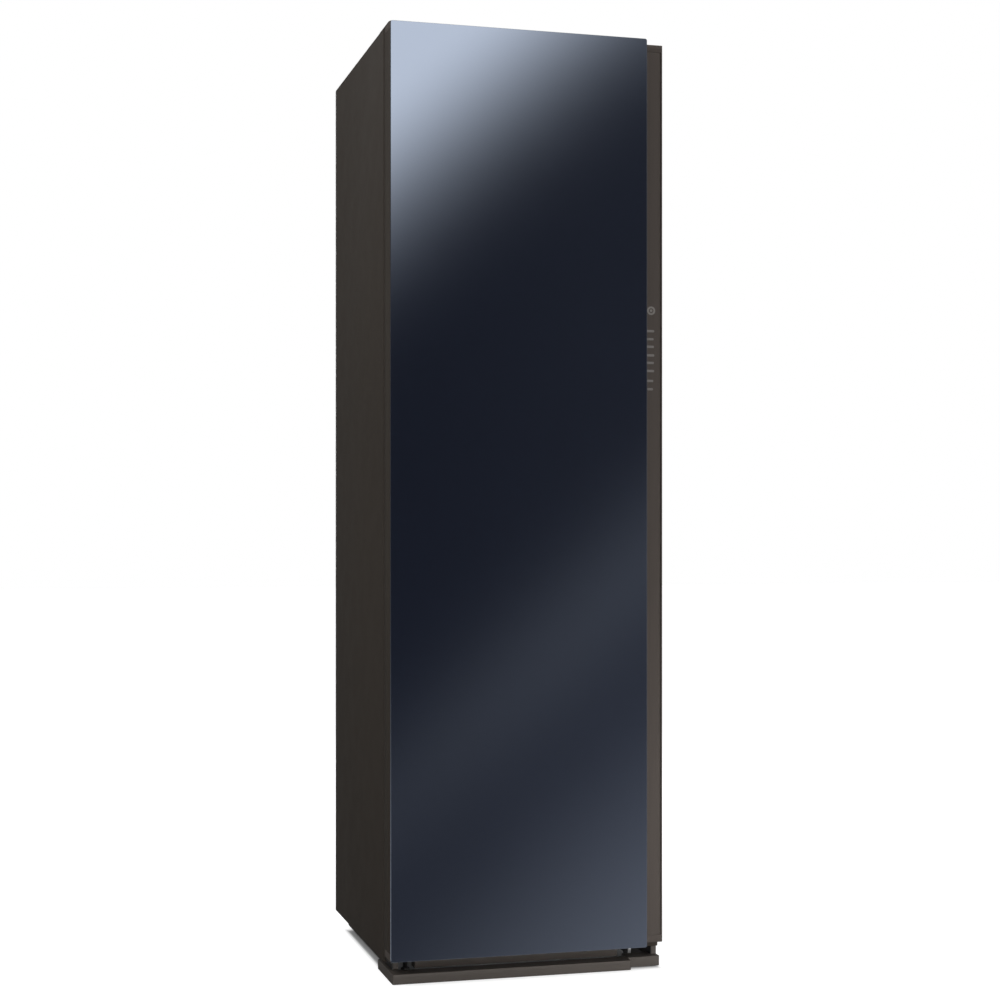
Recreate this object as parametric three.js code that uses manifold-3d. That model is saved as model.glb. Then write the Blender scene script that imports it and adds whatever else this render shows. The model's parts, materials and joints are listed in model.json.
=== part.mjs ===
// Clothes care steam cabinet, in millimetres, +Z up.
// The origin is the middle of the footprint on the floor. The door faces -Y and hangs on the left (-X).
import * as THREE from "three";
import { mergeVertices } from "three/addons/utils/BufferGeometryUtils.js";
import Module from "manifold-3d";

// Overall
const width = 595;
const height = 1960;
const depth = 632;
const fit = 0.3; // gap between pieces that touch
const run = 0.8; // gap round pieces that slide or turn
const overrun = 5; // how far a cutter passes the faces it opens
const bite = 0.6; // how far joined forms of one piece run into each other

// Body shell
const sheet = 1.2;
const floorGap = 40; // floor to the underside of the body
const hingeRise = 10; // hinge cover above the roof
const frontFlange = 30;
const rearFlange = 18;
const uprightRadius = 4;
const backRib = 3;
const backRibWidth = 46;
const backRibInset = 120;
const ventWidth = 105;
const ventHeight = 5;
const ventPitch = 14;
const ventCount = 9;
const ventBase = 150;
const ventInset = 70;
const panSheet = 1.5;
const panRim = 25;

// Front frame, kick panel and plinth
const frameDepth = 30;
const frameWall = 2.5;
const kickInsetLeft = 64;
const kickInsetRight = 92;
const kickBottom = 24;
const kickTop = 50;
const kickReturn = 26;
const kickSheet = 2.5;
const plinthTop = 22;
const plinthLift = 1.5;
const plinthLeft = 10;
const plinthRight = 2;
const plinthSetback = 30;
const plinthStep = 26;
const plinthStepInset = 72;
const plinthBar = 40;
const plinthReach = 150;
const plinthArm = 22;
const plinthPost = 12;

// Levelling feet
const footInset = 56;
const footFront = 122;
const footRear = 62;
const footRadius = 17;
const footPad = 8;
const footStem = 5;
const footRise = 66;
const footNut = 9;
const footNutHeight = 7;
const footBoss = 11;
const footBossHeight = 18;

// Door
const doorThickness = 62; // glass face to the back of the liner's rim
const gasketDepth = 10;
const gasketInset = 16;
const gasketWidth = 14;
const gasketWaist = 4;
const gasketFlange = 3;
const doorBottom = 54;
const doorTopGap = 2;
const stripReveal = 50; // strip beside the glass
const glassThickness = 4;
const glassRadius = 4;
const gripRecess = 44; // depth of the control strip behind the glass
const gripOverhang = 13; // glass past the wall of the finger channel
const gripWall = 3;
const trimWall = 1.6;
const trimReturn = 9;
const capHeight = 15;
const linerSheet = 3;
const linerRise = 6;
const linerInset = 46;
const linerSlope = 10;
const boardWidth = 30;
const boardHeight = 210;
const boardThickness = 5;
const boardCentre = 1310;

// Door hinges
const hingeInset = 14; // hinge axis from the door's left side
const hingeDepth = 40; // hinge axis behind the glass face
const hingePin = 5;
const hingeSheet = 3;
const hingeNose = 12;
const hingeWidth = 58;
const hingeLength = 76;
const hingeEdge = 4;
const leafEdge = 9; // screwed plate of a hinge leaf from the door's left side
const pinDepth = 12;
const washerRadius = 9;
const lowerLeafDrop = 5; // door bottom to the top of the lower leaf
const lowerLeafRise = 18;
const coverWall = 1.8;
const coverEdge = 7;
const coverStart = 4; // front of the cover behind the hinge axis
const coverRadius = 6;

// Chamber
const chamberFloor = 440;
const ceilingBuild = 65; // top of the roof to the chamber's ceiling
const wallBuild = 38; // outer side to the inside of the chamber
const linerWall = 2.5;
const ductDepth = 40;
const backFoam = 20;
const ledgeReach = 9;
const ledgeHeight = 6;
const ductWall = 2;
const ceilingDuctHeight = 36;
const ceilingDuctSide = 110; // side of the body to the duct
const ceilingDuctLead = 52; // front of the duct before the rail
const ductMouth = 26;

// Air rail and hangers
const railDrop = 55;
const railRadius = 12;
const railWall = 2;
const railEnd = 24;
const railFlange = 19;
const railFlangeHeight = 4;
const stalkRadius = 10;
const stalkRise = 4;
const nozzleRadius = 4;
const hangerCount = 5;
const hangerSide = 69.5; // outer hanger to the chamber's side
const hangerReach = 205;
const hangerDrop = 52;
const hangerNeck = 62;
const hangerWall = 2;
const hookWall = 4;
const hookWidth = 16;
const hookGap = 16;
const socketWidth = 22;
const shoulderTip = 19;
const shoulderRoot = 11;
const shoulderHeight = 9;
const slotLength = 26;
const slotWidth = 4;

// Chamber fittings
const lightLength = 300;
const lightDepth = 22;
const lightHeight = 8;
const lightFront = 24;
const shelfLevel = 350; // shelf above the chamber floor
const shelfThickness = 12;
const shelfBorder = 26;
const shelfFront = 70;
const shelfRear = 40;
const shelfSlats = 9;
const shelfSlatShare = 0.5;
const wellWidth = 190;
const wellFront = 54;
const wellLength = 122;
const wellDepth = 92;
const wellWall = 2.5;
const grilleBorder = 8;
const grilleSheet = 6;
const grilleSlats = 7;
const grilleSlatShare = 0.4;
const filterFront = 40; // front of the well to the filter
const filterThickness = 20;
const filterBorder = 9;
const filterMesh = 1.2;
const filterFlange = 5;
const filterFlangeHeight = 3;
const filterGrip = 70;
const filterGripRise = 20;
const steamWidth = 130;
const steamLength = 44;
const steamHeight = 16;
const steamWall = 2.5;
const steamBack = 70;
const steamSlots = 8;
const steamSlotShare = 0.45;
const steamPipe = 12;
const steamPipeDrop = 16;

// Tank bay and water tanks
const bayFloor = 150;
const bayHeight = 182;
const bayWall = 2.5;
const bayDepth = 180;
const bayDivider = 4;
const tankFront = 54; // front of the body to the tank's grip
const tankGrip = 12;
const tankGripWidth = 110;
const tankGripHeight = 26;
const tankWall = 2;
const tankRadius = 14;
const tankHeadroom = 10;
const lidHeight = 8;
const lidRim = 3;
const capRadius = 16;
const capRise = 5;

// Machine room
const compressorRadius = 58;
const compressorHeight = 205;
const compressorLeft = 150;
const compressorRear = 100;
const compressorFoot = 16;
const compressorPlate = 4;
const compressorPlateHalf = 66;
const compressorDome = 26;
const rubberRadius = 11;
const boilerWidth = 150;
const boilerDepth = 84;
const boilerHeight = 105;
const boilerLeft = 78;
const boilerLeg = 14;
const boilerRadius = 12;
const boilerFins = 5;
const pumpRadius = 17;
const pumpLength = 52;
const pumpHeight = 30;
const pumpLeft = 38;
const controlDepth = 48;
const controlLength = 150;
const controlHeight = 150;
const controlRise = 240;
const controlRadius = 5;
const tunnelLeft = 282; // left side of the body to the air tunnel
const tunnelRight = 34;
const tunnelWall = 8;
const tunnelRise = 70; // pan to the underside of the tunnel
const tunnelHeight = 180;
const tunnelRib = 10;
const tunnelThroat = 80;
const coilHeight = 130;
const coilLength = 44;
const coilGap = 18;
const coilFins = 16;
const coilFinShare = 0.35;
const coilRootShare = 0.4;
const blowerDepth = 68;
const blowerWall = 2.5;
const blowerHeight = 135; // pan to the wheel's axis
const blowerOffset = 72; // middle of the body to the wheel's axis
const scrollStart = 74;
const scrollEnd = 106;
const tongueDegrees = 68;
const blowerRise = 122;
const wheelRadius = 60;
const wheelWidth = 34;
const wheelEye = 42;
const wheelSheet = 2.5;
const wheelBlades = 16;
const bladeThickness = 1.6;
const bladeSweep = 24;
const motorRadius = 28;
const motorLength = 20;
const shaftRadius = 4;
const hubRadius = 9;
const pipeRadius = 5;
const hoseRadius = 8;
const glandFlange = 14;
const glandRadius = 10;
const glandBore = 4.5;
const glandLength = 14;
const glandSide = 70;
const glandLevel = 96;

// Facets
const roundSides = 16;
const fineSides = 20;
const tubeSides = 8;
const filletSteps = 3;
const scrollSteps = 26;
const shoulderSteps = 10;
const shoulderSides = 10;
const bendSteps = 16;

// Places that follow from the sizes above
const left = -width / 2;
const right = width / 2;
const front = -depth / 2;
const back = depth / 2;
const hingeX = left + hingeInset;
const hingeY = front + hingeDepth;
const roof = height - hingeRise;
const bodyFront = front + doorThickness + gasketDepth;
const frameBack = bodyFront + frameDepth;
const backSkin = back - backRib; // outer face of the back panel between its ribs
const backInner = backSkin - sheet;
const sideInner = width / 2 - sheet;
const chamberHalf = width / 2 - wallBuild;
const linerHalf = chamberHalf + linerWall;
const chamberTop = roof - ceilingBuild;
const doorTop = roof - doorTopGap;
const ductBack = backInner - backFoam - 2 * fit;
const ductFront = ductBack - ductDepth;
const linerBack = ductFront - fit;
const chamberBack = linerBack - linerWall;
const chamberMiddle = (bodyFront + chamberBack) / 2;
const railLevel = chamberTop - railDrop;
const hangerPitch = ((chamberHalf - hangerSide) * 2) / (hangerCount - 1);
const panTop = floorGap + panSheet;
const bayBack = bodyFront + bayDepth;
const wellStart = bodyFront + wellFront;
const wellBottom = chamberFloor - linerWall - fit - wellDepth;

const wasm = await Module();
wasm.setup();

// Makes a solid of a closed three.js geometry, whichever way round its faces run
function solid(geometry) {
  const source = geometry.clone();
  for (const extra of ["normal", "uv"]) if (source.getAttribute(extra)) source.deleteAttribute(extra);
  const merged = mergeVertices(source);
  const numbers = [];
  const index = merged.index.array;
  for (let i = 0; i < index.length; i += 3) {
    const [a, b, c] = [index[i], index[i + 1], index[i + 2]];
    if (a !== b && b !== c && c !== a) numbers.push([a, b, c]);
  }
  const vertProperties = merged.getAttribute("position").array;
  const build = (faces) =>
    new wasm.Manifold(new wasm.Mesh({ numProp: 3, vertProperties, triVerts: new Uint32Array(faces.flat()) }));
  const made = build(numbers);
  return made.volume() < 0 ? build(numbers.map(([a, b, c]) => [a, c, b])) : made;
}

// Turns a solid back into a geometry that a mesh can hold
function geometryOf(body) {
  const mesh = body.getMesh();
  const geometry = new THREE.BufferGeometry();
  geometry.setAttribute("position", new THREE.BufferAttribute(new Float32Array(mesh.vertProperties), 3));
  geometry.setIndex(new THREE.BufferAttribute(new Uint32Array(mesh.triVerts), 1));
  geometry.computeVertexNormals();
  return geometry;
}

const join = (...bodies) => bodies.reduce((all, one) => all.add(one));
const cut = (body, ...cutters) => cutters.reduce((rest, one) => rest.subtract(one), body);
const repeat = (count, make) => Array.from({ length: count }, (unused, i) => make(i));

// An outline through corners [u, v, radius], each rounded by its own radius
function outline(corners) {
  const shape = new THREE.Shape();
  corners.forEach(([u, v, radius = 0], i) => {
    const corner = new THREE.Vector2(u, v);
    const toward = (other) => new THREE.Vector2(other[0], other[1]).sub(corner);
    const before = toward(corners.at(i - 1));
    const after = toward(corners[(i + 1) % corners.length]);
    const reach = Math.min(
      radius / Math.tan(before.angleTo(after) / 2),
      before.length() / 2,
      after.length() / 2,
    );
    const start = corner.clone().addScaledVector(before.normalize(), reach);
    const end = corner.clone().addScaledVector(after.normalize(), reach);
    if (i === 0) shape.moveTo(start.x, start.y);
    else shape.lineTo(start.x, start.y);
    if (reach > 0) shape.quadraticCurveTo(u, v, end.x, end.y);
  });
  shape.closePath();
  return shape;
}

const rectangle = (u0, u1, v0, v1, radius = 0) =>
  outline([
    [u0, v0, radius],
    [u1, v0, radius],
    [u1, v1, radius],
    [u0, v1, radius],
  ]);

const alongX = new THREE.Matrix4().makeBasis(
  new THREE.Vector3(0, 1, 0),
  new THREE.Vector3(0, 0, 1),
  new THREE.Vector3(1, 0, 0),
);
const extrude = (shape, length) =>
  new THREE.ExtrudeGeometry(shape, { depth: length, bevelEnabled: false, curveSegments: filletSteps });

// Prisms: an x-y outline carried up, an x-z outline carried back, a y-z outline carried right
const upright = (shape, z0, z1) => solid(extrude(shape, z1 - z0).translate(0, 0, z0));
const facing = (shape, y0, y1) => solid(extrude(shape, y1 - y0).rotateX(Math.PI / 2).translate(0, y1, 0));
const sideways = (shape, x0, x1) => solid(extrude(shape, x1 - x0).applyMatrix4(alongX).translate(x0, 0, 0));

const block = (x0, x1, y0, y1, z0, z1) =>
  solid(
    new THREE.BoxGeometry(x1 - x0, y1 - y0, z1 - z0).translate((x0 + x1) / 2, (y0 + y1) / 2, (z0 + z1) / 2),
  );

// Round bars along each axis, between two places on it
const cylinder = (radius, length, sides) => new THREE.CylinderGeometry(radius, radius, length, sides);
const barZ = (radius, z0, z1, x, y, sides = roundSides) =>
  solid(cylinder(radius, z1 - z0, sides).rotateX(Math.PI / 2).translate(x, y, (z0 + z1) / 2));
const barY = (radius, y0, y1, x, z, sides = roundSides) =>
  solid(cylinder(radius, y1 - y0, sides).translate(x, (y0 + y1) / 2, z));
const barX = (radius, x0, x1, y, z, sides = roundSides) =>
  solid(cylinder(radius, x1 - x0, sides).rotateZ(Math.PI / 2).translate((x0 + x1) / 2, y, z));

// Turns a profile of [radius, z] about the upright axis
function turned(profile, sides = fineSides) {
  const points = profile.map(([r, z]) => new THREE.Vector2(r, z));
  return solid(new THREE.LatheGeometry(points, sides).rotateX(Math.PI / 2));
}

// A skin through rings of points, closed at both ends, or back on itself
function loft(rings, closed = false) {
  const count = rings[0].length;
  const points = rings.flat();
  const faces = [];
  const spans = closed ? rings.length : rings.length - 1;
  for (let j = 0; j < spans; j += 1) {
    const here = j * count;
    const next = ((j + 1) % rings.length) * count;
    for (let i = 0; i < count; i += 1) {
      const k = (i + 1) % count;
      faces.push(here + i, here + k, next + k, here + i, next + k, next + i);
    }
  }
  if (!closed) {
    const middle = (ring) => [0, 1, 2].map((axis) => ring.reduce((sum, p) => sum + p[axis], 0) / count);
    points.push(middle(rings[0]), middle(rings.at(-1)));
    const last = (rings.length - 1) * count;
    for (let i = 0; i < count; i += 1) {
      const k = (i + 1) % count;
      faces.push(points.length - 2, k, i, points.length - 1, last + i, last + k);
    }
  }
  const geometry = new THREE.BufferGeometry();
  geometry.setAttribute("position", new THREE.BufferAttribute(new Float32Array(points.flat()), 3));
  geometry.setIndex(faces);
  return solid(geometry);
}

// A pressing: a rectangle at y0 that draws in by slope on its way to y1
const pressing = (x0, x1, z0, z1, y0, y1, slope) =>
  loft([
    [[x0, y0, z0], [x1, y0, z0], [x1, y0, z1], [x0, y0, z1]],
    [[x0 + slope, y1, z0 + slope], [x1 - slope, y1, z0 + slope], [x1 - slope, y1, z1 - slope],
      [x0 + slope, y1, z1 - slope]],
  ]);

// A mitred frame in the x-z plane whose profile is a list of [inset, y]
const mitred = (x0, x1, z0, z1, profile) =>
  loft(
    [[1, 1], [-1, 1], [-1, -1], [1, -1]].map(([sx, sz]) =>
      profile.map(([inset, y]) => [
        (sx > 0 ? x0 : x1) + sx * inset,
        y,
        (sz > 0 ? z0 : z1) + sz * inset,
      ]),
    ),
    true,
  );

// A round tube along a smooth curve through points
function tube(points, radius) {
  const section = new THREE.Shape(
    repeat(tubeSides, (i) => {
      const turn = (i / tubeSides) * 2 * Math.PI;
      return new THREE.Vector2(radius * Math.cos(turn), radius * Math.sin(turn));
    }),
  );
  const path = new THREE.CatmullRomCurve3(points.map((p) => new THREE.Vector3(...p)), false, "centripetal");
  return solid(new THREE.ExtrudeGeometry(section, { steps: bendSteps, extrudePath: path }));
}

const finish = (color, roughness, metalness = 0) =>
  new THREE.MeshStandardMaterial({ color, roughness, metalness });
const materials = {
  shell: finish("#3a3532", 0.45, 0.5),
  glass: finish("#1a1e2a", 0.06),
  strip: finish("#504b47", 0.35, 0.6),
  dark: finish("#262422", 0.6),
  chamber: finish("#8f9194", 0.5),
  hanger: finish("#c8c9ca", 0.45),
  seal: finish("#1d1d1e", 0.85),
  zinc: finish("#9a9c9e", 0.4, 0.9),
  foam: finish("#e4e4e0", 0.9),
  water: finish("#9fb4c4", 0.15),
  copper: finish("#a8683f", 0.35, 0.9),
  black: finish("#161616", 0.5),
};

const cabinet = new THREE.Group();
function place(group, name, material, body) {
  const mesh = new THREE.Mesh(geometryOf(body), materials[material]);
  mesh.name = name;
  group.add(mesh);
  return mesh;
}

// Side panel: one folded sheet with a front and a rear flange
function sidePanel(side) {
  const at = (inset) => side * (width / 2 - inset);
  const rear = backInner - fit;
  const shape = outline([
    [at(0), bodyFront, uprightRadius],
    [at(frontFlange), bodyFront],
    [at(frontFlange), bodyFront + sheet],
    [at(sheet), bodyFront + sheet],
    [at(sheet), rear - sheet],
    [at(rearFlange), rear - sheet],
    [at(rearFlange), rear],
    [at(0), rear, uprightRadius],
  ]);
  return upright(shape, floorGap, roof - sheet - fit);
}

// Roof sheet with its front flange between those of the sides
function topPanel() {
  const lid = upright(rectangle(left, right, bodyFront, backSkin, uprightRadius), roof - sheet, roof);
  const inset = frontFlange + fit;
  const flange = block(
    left + inset, right - inset, bodyFront, bodyFront + sheet, roof - frontFlange, roof - sheet + bite,
  );
  return join(lid, flange);
}

// Back sheet with two pressed ribs, vents for the machine room and the cord's hole
function backPanel() {
  const plate = block(left, right, backInner, backSkin, floorGap, roof - sheet - fit);
  const ribs = [-1, 1].map((side) => side * (width / 2 - backRibInset) - backRibWidth / 2);
  const low = chamberFloor;
  const high = roof - backRibInset;
  const slope = backRib * 2;
  const outer = ribs.map((x) => pressing(x, x + backRibWidth, low, high, backInner, back, slope));
  const inner = ribs.map((x) =>
    pressing(
      x + sheet, x + backRibWidth - sheet, low + sheet, high - sheet,
      backInner - bite, backSkin + backRib - sheet,
      slope,
    ),
  );
  const vents = [left + ventInset, right - ventInset - ventWidth].flatMap((x) =>
    repeat(ventCount, (i) => {
      const z = ventBase + i * ventPitch;
      return block(x, x + ventWidth, backInner - overrun, back + overrun, z, z + ventHeight);
    }),
  );
  const hole = barY(glandRadius + fit, backInner - overrun, back + overrun, right - glandSide, glandLevel);
  return cut(join(plate, ...outer), ...inner, ...vents, hole);
}

const footPlaces = [
  ["foot_front_left", left + footInset, front + footFront],
  ["foot_front_right", right - footInset, front + footFront],
  ["foot_rear_left", left + footInset, back - footRear],
  ["foot_rear_right", right - footInset, back - footRear],
];

// Floor tray of the machine room, with a threaded boss over each foot
function basePan() {
  const half = sideInner - fit;
  const y0 = frameBack + fit;
  const y1 = backInner - fit;
  const tray = cut(
    block(-half, half, y0, y1, floorGap, floorGap + panRim),
    block(
      -half + panSheet, half - panSheet, y0 + panSheet, y1 - panSheet, panTop, floorGap + panRim + overrun,
    ),
  );
  // The left and right rims stop short of the rear flanges of the side panels
  const notches = [-1, 1].map((side) => {
    const inner = side * (width / 2 - rearFlange - fit);
    const outer = side * (half + overrun);
    return block(
      Math.min(inner, outer), Math.max(inner, outer), y1 - sheet - 2 * fit, y1 + overrun,
      floorGap - overrun, floorGap + panRim + overrun,
    );
  });
  const bosses = footPlaces.map(([, x, y]) => barZ(footBoss, floorGap, floorGap + footBossHeight, x, y));
  const bores = footPlaces.map(([, x, y]) =>
    barZ(footStem + run, floorGap - overrun, floorGap + footBossHeight + overrun, x, y),
  );
  return cut(join(tray, ...bosses), ...notches, ...bores);
}

// Screw foot: pad, nut and stem on one axis
function levellingFoot() {
  const chamfer = footPad / 4;
  return join(
    turned([
      [0, 0],
      [footRadius - chamfer, 0],
      [footRadius, chamfer],
      [footRadius, footPad - chamfer],
      [footRadius - chamfer * 2, footPad],
      [footStem, footPad + chamfer],
      [footStem, footRise - chamfer],
      [footStem - chamfer / 2, footRise],
      [0, footRise],
    ]),
    barZ(footNut, footPad - bite, footPad + footNutHeight, 0, 0, 6),
  );
}

// Stiles and rails of the front frame round the chamber and the tank bay
const frameHalf = width / 2 - frontFlange - fit;
const frameTop = roof - frontFlange - fit;
const frameStile = (side) => {
  const [x0, x1] = [side * chamberHalf, side * frameHalf].sort((a, b) => a - b);
  return block(x0, x1, bodyFront, frameBack, floorGap, frameTop);
};

// Rail between the stiles, a channel open behind
function frameRail(z0, z1) {
  const half = chamberHalf - fit;
  return cut(
    block(-half, half, bodyFront, frameBack, z0, z1),
    block(
      -half + frameWall, half - frameWall, bodyFront + frameWall, frameBack + overrun,
      z0 + frameWall, z1 - frameWall,
    ),
  );
}

// Kick panel below the door, with an end return on each side
function kickPanel() {
  const y1 = bodyFront - fit;
  const x0 = left + kickInsetLeft;
  const x1 = right - kickInsetRight;
  const shape = outline([
    [x0, y1 - kickSheet, kickSheet],
    [x1, y1 - kickSheet, kickSheet],
    [x1, y1 + kickReturn],
    [x1 - kickSheet, y1 + kickReturn],
    [x1 - kickSheet, y1],
    [x0 + kickSheet, y1],
    [x0 + kickSheet, y1 + kickReturn],
    [x0, y1 + kickReturn],
  ]);
  // Behind its face the panel is cut down to pass under the body
  const under = block(
    x0 - overrun, x1 + overrun, y1, y1 + kickReturn + overrun, floorGap - fit, kickTop + overrun,
  );
  return cut(upright(shape, kickBottom, kickTop), under);
}

// Plinth under the front of the body: a bar, a stepped back right end and two arms
function basePlate() {
  const y0 = front + plinthSetback;
  const x0 = left + plinthLeft;
  const x1 = right - plinthRight;
  const step = x1 - plinthStepInset;
  const shape = outline([
    [x0, y0, uprightRadius],
    [step, y0, uprightRadius],
    [step, y0 + plinthStep],
    [x1, y0 + plinthStep, uprightRadius],
    [x1, y0 + plinthReach],
    [x1 - plinthArm, y0 + plinthReach],
    [x1 - plinthArm, y0 + plinthStep + plinthBar],
    [step, y0 + plinthStep + plinthBar],
    [step, y0 + plinthBar],
    [x0 + plinthArm, y0 + plinthBar],
    [x0 + plinthArm, y0 + plinthReach],
    [x0, y0 + plinthReach],
  ]);
  const posts = [x0, x1 - plinthArm].flatMap((x) =>
    [bodyFront + plinthPost, y0 + plinthReach - plinthPost].map((y) =>
      block(
        x + (plinthArm - plinthPost), x + plinthArm, y - plinthPost / 2, y + plinthPost / 2, plinthTop - bite,
        floorGap - fit,
      ),
    ),
  );
  return join(upright(shape, plinthLift, plinthTop), ...posts);
}

// Hinge leaf in plan: a plate on the body and a round nose about the pin's axis
function hingeLeaf(edge, z0, z1, rear) {
  const plateFront = bodyFront + hingeEdge - gasketDepth;
  const plate = upright(rectangle(edge, edge + hingeWidth, plateFront, rear, hingeEdge), z0, z1);
  const arm = block(edge, hingeX + hingeNose, hingeY, bodyFront + hingeEdge, z0, z1);
  const flat = block(left + hingeEdge, hingeX + hingeNose, hingeY - hingeNose, hingeY + hingeNose, z0, z1);
  return join(plate, arm, barZ(hingeNose, z0, z1, hingeX, hingeY).intersect(flat));
}

const upperLeafTop = roof + fit + hingeSheet;
const lowerLeafTop = doorBottom - lowerLeafDrop;

function lowerHingeBracket() {
  const rear = bodyFront - fit;
  const web = block(
    left + hingeEdge, left + hingeEdge + hingeWidth, rear - hingeSheet, rear, lowerLeafTop - hingeSheet,
    lowerLeafTop + lowerLeafRise,
  );
  const leaf = hingeLeaf(left + hingeEdge, lowerLeafTop - hingeSheet, lowerLeafTop, rear);
  const limit = block(left, right, front, rear, floorGap, lowerLeafTop + lowerLeafRise);
  const pin = barZ(hingePin, lowerLeafTop - hingeSheet, doorBottom + pinDepth, hingeX, hingeY);
  const washer = barZ(washerRadius, lowerLeafTop - bite, doorBottom - fit, hingeX, hingeY);
  return join(leaf.intersect(limit), web, pin, washer);
}

// Upper leaf with its riveted pin, which hangs into the door's top cap
function upperHingeBracket() {
  const leaf = hingeLeaf(left + leafEdge, roof + fit, upperLeafTop, bodyFront + hingeLength);
  const pin = barZ(hingePin, doorTop - pinDepth, upperLeafTop, hingeX, hingeY);
  const head = barZ(hingePin + overrun / 2, upperLeafTop - bite, upperLeafTop + coverWall, hingeX, hingeY);
  return join(leaf, pin, head);
}

// Cover over the upper leaf, open below and in front where the leaf's arm leaves it
function hingeCover() {
  const x0 = left + coverEdge;
  const x1 = left + leafEdge + hingeWidth + coverWall + run;
  const y0 = front + hingeDepth + hingePin + coverStart;
  const y1 = bodyFront + hingeLength + coverWall + run;
  const shell = upright(rectangle(x0, x1, y0, y1, coverRadius), roof + fit, height);
  const hollow = block(
    left + leafEdge - run, x1 - coverWall, y0 - overrun, y1 - coverWall, roof - overrun, height - coverWall,
  );
  const besideNose = left + hingeInset + hingeNose + run;
  const frontWall = block(besideNose, x1 - bite, y0, y0 + coverWall, roof + fit, height);
  return join(cut(shell, hollow), frontWall.intersect(shell));
}

// Door frame of reference: x and y from the hinge axis
const doorLeft = -hingeInset;
const doorRight = doorLeft + width;
const doorFace = -hingeDepth;
const doorBack = doorFace + doorThickness;
const glassBack = doorFace + glassThickness;
const glassRight = doorRight - stripReveal;
const channelWall = glassRight - gripOverhang;
const stripFace = doorFace + gripRecess;
const linerFace = doorBack - linerSheet;
const capTop = doorTop - capHeight;
const capBottom = doorBottom + capHeight;

const doorGlass = () =>
  facing(rectangle(doorLeft, glassRight, doorBottom, doorTop, glassRadius), doorFace, glassBack);

// Left edge profile of the door, folded behind the glass and behind the liner's rim
function doorTrimLeft() {
  const y0 = glassBack + fit;
  const y1 = linerFace - fit;
  const shape = outline([
    [doorLeft, y0],
    [doorLeft + trimReturn, y0],
    [doorLeft + trimReturn, y0 + trimWall],
    [doorLeft + trimWall, y0 + trimWall],
    [doorLeft + trimWall, y1 - trimWall],
    [doorLeft + trimReturn, y1 - trimWall],
    [doorLeft + trimReturn, y1],
    [doorLeft, y1, trimWall],
  ]);
  return upright(shape, capBottom + fit, capTop - fit);
}

// Finger channel, control strip and right edge of the door, one profile for the whole height
function gripStrip() {
  const y0 = glassBack + fit;
  const y1 = linerFace - fit;
  const shape = outline([
    [channelWall, y0],
    [channelWall + gripWall, y0],
    [channelWall + gripWall, stripFace, gripWall],
    [doorRight, stripFace, trimWall],
    [doorRight, y1, trimWall],
    [doorRight - trimReturn, y1],
    [doorRight - trimReturn, y1 - trimWall],
    [doorRight - trimWall, y1 - trimWall],
    [doorRight - trimWall, stripFace + gripWall],
    [channelWall, stripFace + gripWall],
  ]);
  return upright(shape, capBottom + fit, capTop - fit);
}

// Foam core that fills the door behind the glass and the strip, with a pocket for the touch board
function doorCore() {
  const y0 = glassBack + trimWall + 2 * fit;
  const y1 = linerFace - trimWall - 2 * fit;
  const shape = outline([
    [doorLeft + trimWall + fit, y0],
    [channelWall - fit, y0],
    [channelWall - fit, stripFace + gripWall + fit],
    [doorRight - trimWall - fit, stripFace + gripWall + fit],
    [doorRight - trimWall - fit, y1],
    [doorLeft + trimWall + fit, y1],
  ]);
  const body = upright(shape, capBottom + fit, capTop - fit);
  const face = stripFace + gripWall + fit;
  const pocket = block(
    boardMiddle - boardWidth / 2 - fit, boardMiddle + boardWidth / 2 + fit, face - overrun,
    face + boardThickness + fit, boardCentre - boardHeight / 2 - fit, boardCentre + boardHeight / 2 + fit,
  );
  return cut(body, pocket);
}

const boardMiddle = (channelWall + gripWall + doorRight) / 2;
const touchBoard = () =>
  facing(
    rectangle(
      boardMiddle - boardWidth / 2, boardMiddle + boardWidth / 2, boardCentre - boardHeight / 2,
      boardCentre + boardHeight / 2, trimWall,
    ),
    stripFace + gripWall + fit,
    stripFace + gripWall + boardThickness,
  );

// End caps of the door, with the pin's bore
function doorCap(z0, z1) {
  const y0 = glassBack + fit;
  const y1 = linerFace - fit;
  const shape = outline([
    [doorLeft, y0],
    [channelWall + gripWall, y0],
    [channelWall + gripWall, stripFace, gripWall],
    [doorRight, stripFace, trimWall],
    [doorRight, y1, trimWall],
    [doorLeft, y1, trimWall],
  ]);
  return cut(upright(shape, z0, z1), barZ(hingePin + run, z0 - overrun, z1 + overrun, 0, 0));
}

// Vacuum-formed inner panel with a raised middle
function doorLiner() {
  const rim = facing(rectangle(doorLeft, doorRight, doorBottom, doorTop, uprightRadius), linerFace, doorBack);
  const field = [
    doorLeft + linerInset, doorRight - linerInset, doorBottom + linerInset * 2, doorTop - linerInset,
  ];
  const raised = pressing(...field, linerFace, doorBack + linerRise, linerSlope);
  const [x0, x1, z0, z1] = field;
  const hollow = pressing(
    x0 + linerSheet, x1 - linerSheet, z0 + linerSheet, z1 - linerSheet, linerFace - bite,
    doorBack + linerRise - linerSheet, linerSlope,
  );
  return cut(join(rim, raised), hollow);
}

// Magnetic gasket: foot, waist and head in one mitred ring
function doorGasket() {
  const y0 = doorBack + fit;
  const y1 = doorBack + gasketDepth - fit;
  const profile = [
    [0, y0],
    [gasketWidth, y0],
    [gasketWidth, y0 + gasketFlange],
    [gasketWidth - gasketWaist, y0 + gasketFlange],
    [gasketWidth - gasketWaist, y1 - gasketFlange],
    [gasketWidth, y1 - gasketFlange],
    [gasketWidth, y1],
    [0, y1],
    [0, y1 - gasketFlange],
    [gasketWaist, y1 - gasketFlange],
    [gasketWaist, y0 + gasketFlange],
    [0, y0 + gasketFlange],
  ];
  return mitred(
    doorLeft + gasketInset, doorRight - gasketInset, doorBottom + gasketInset, doorTop - gasketInset, profile,
  );
}

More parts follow.
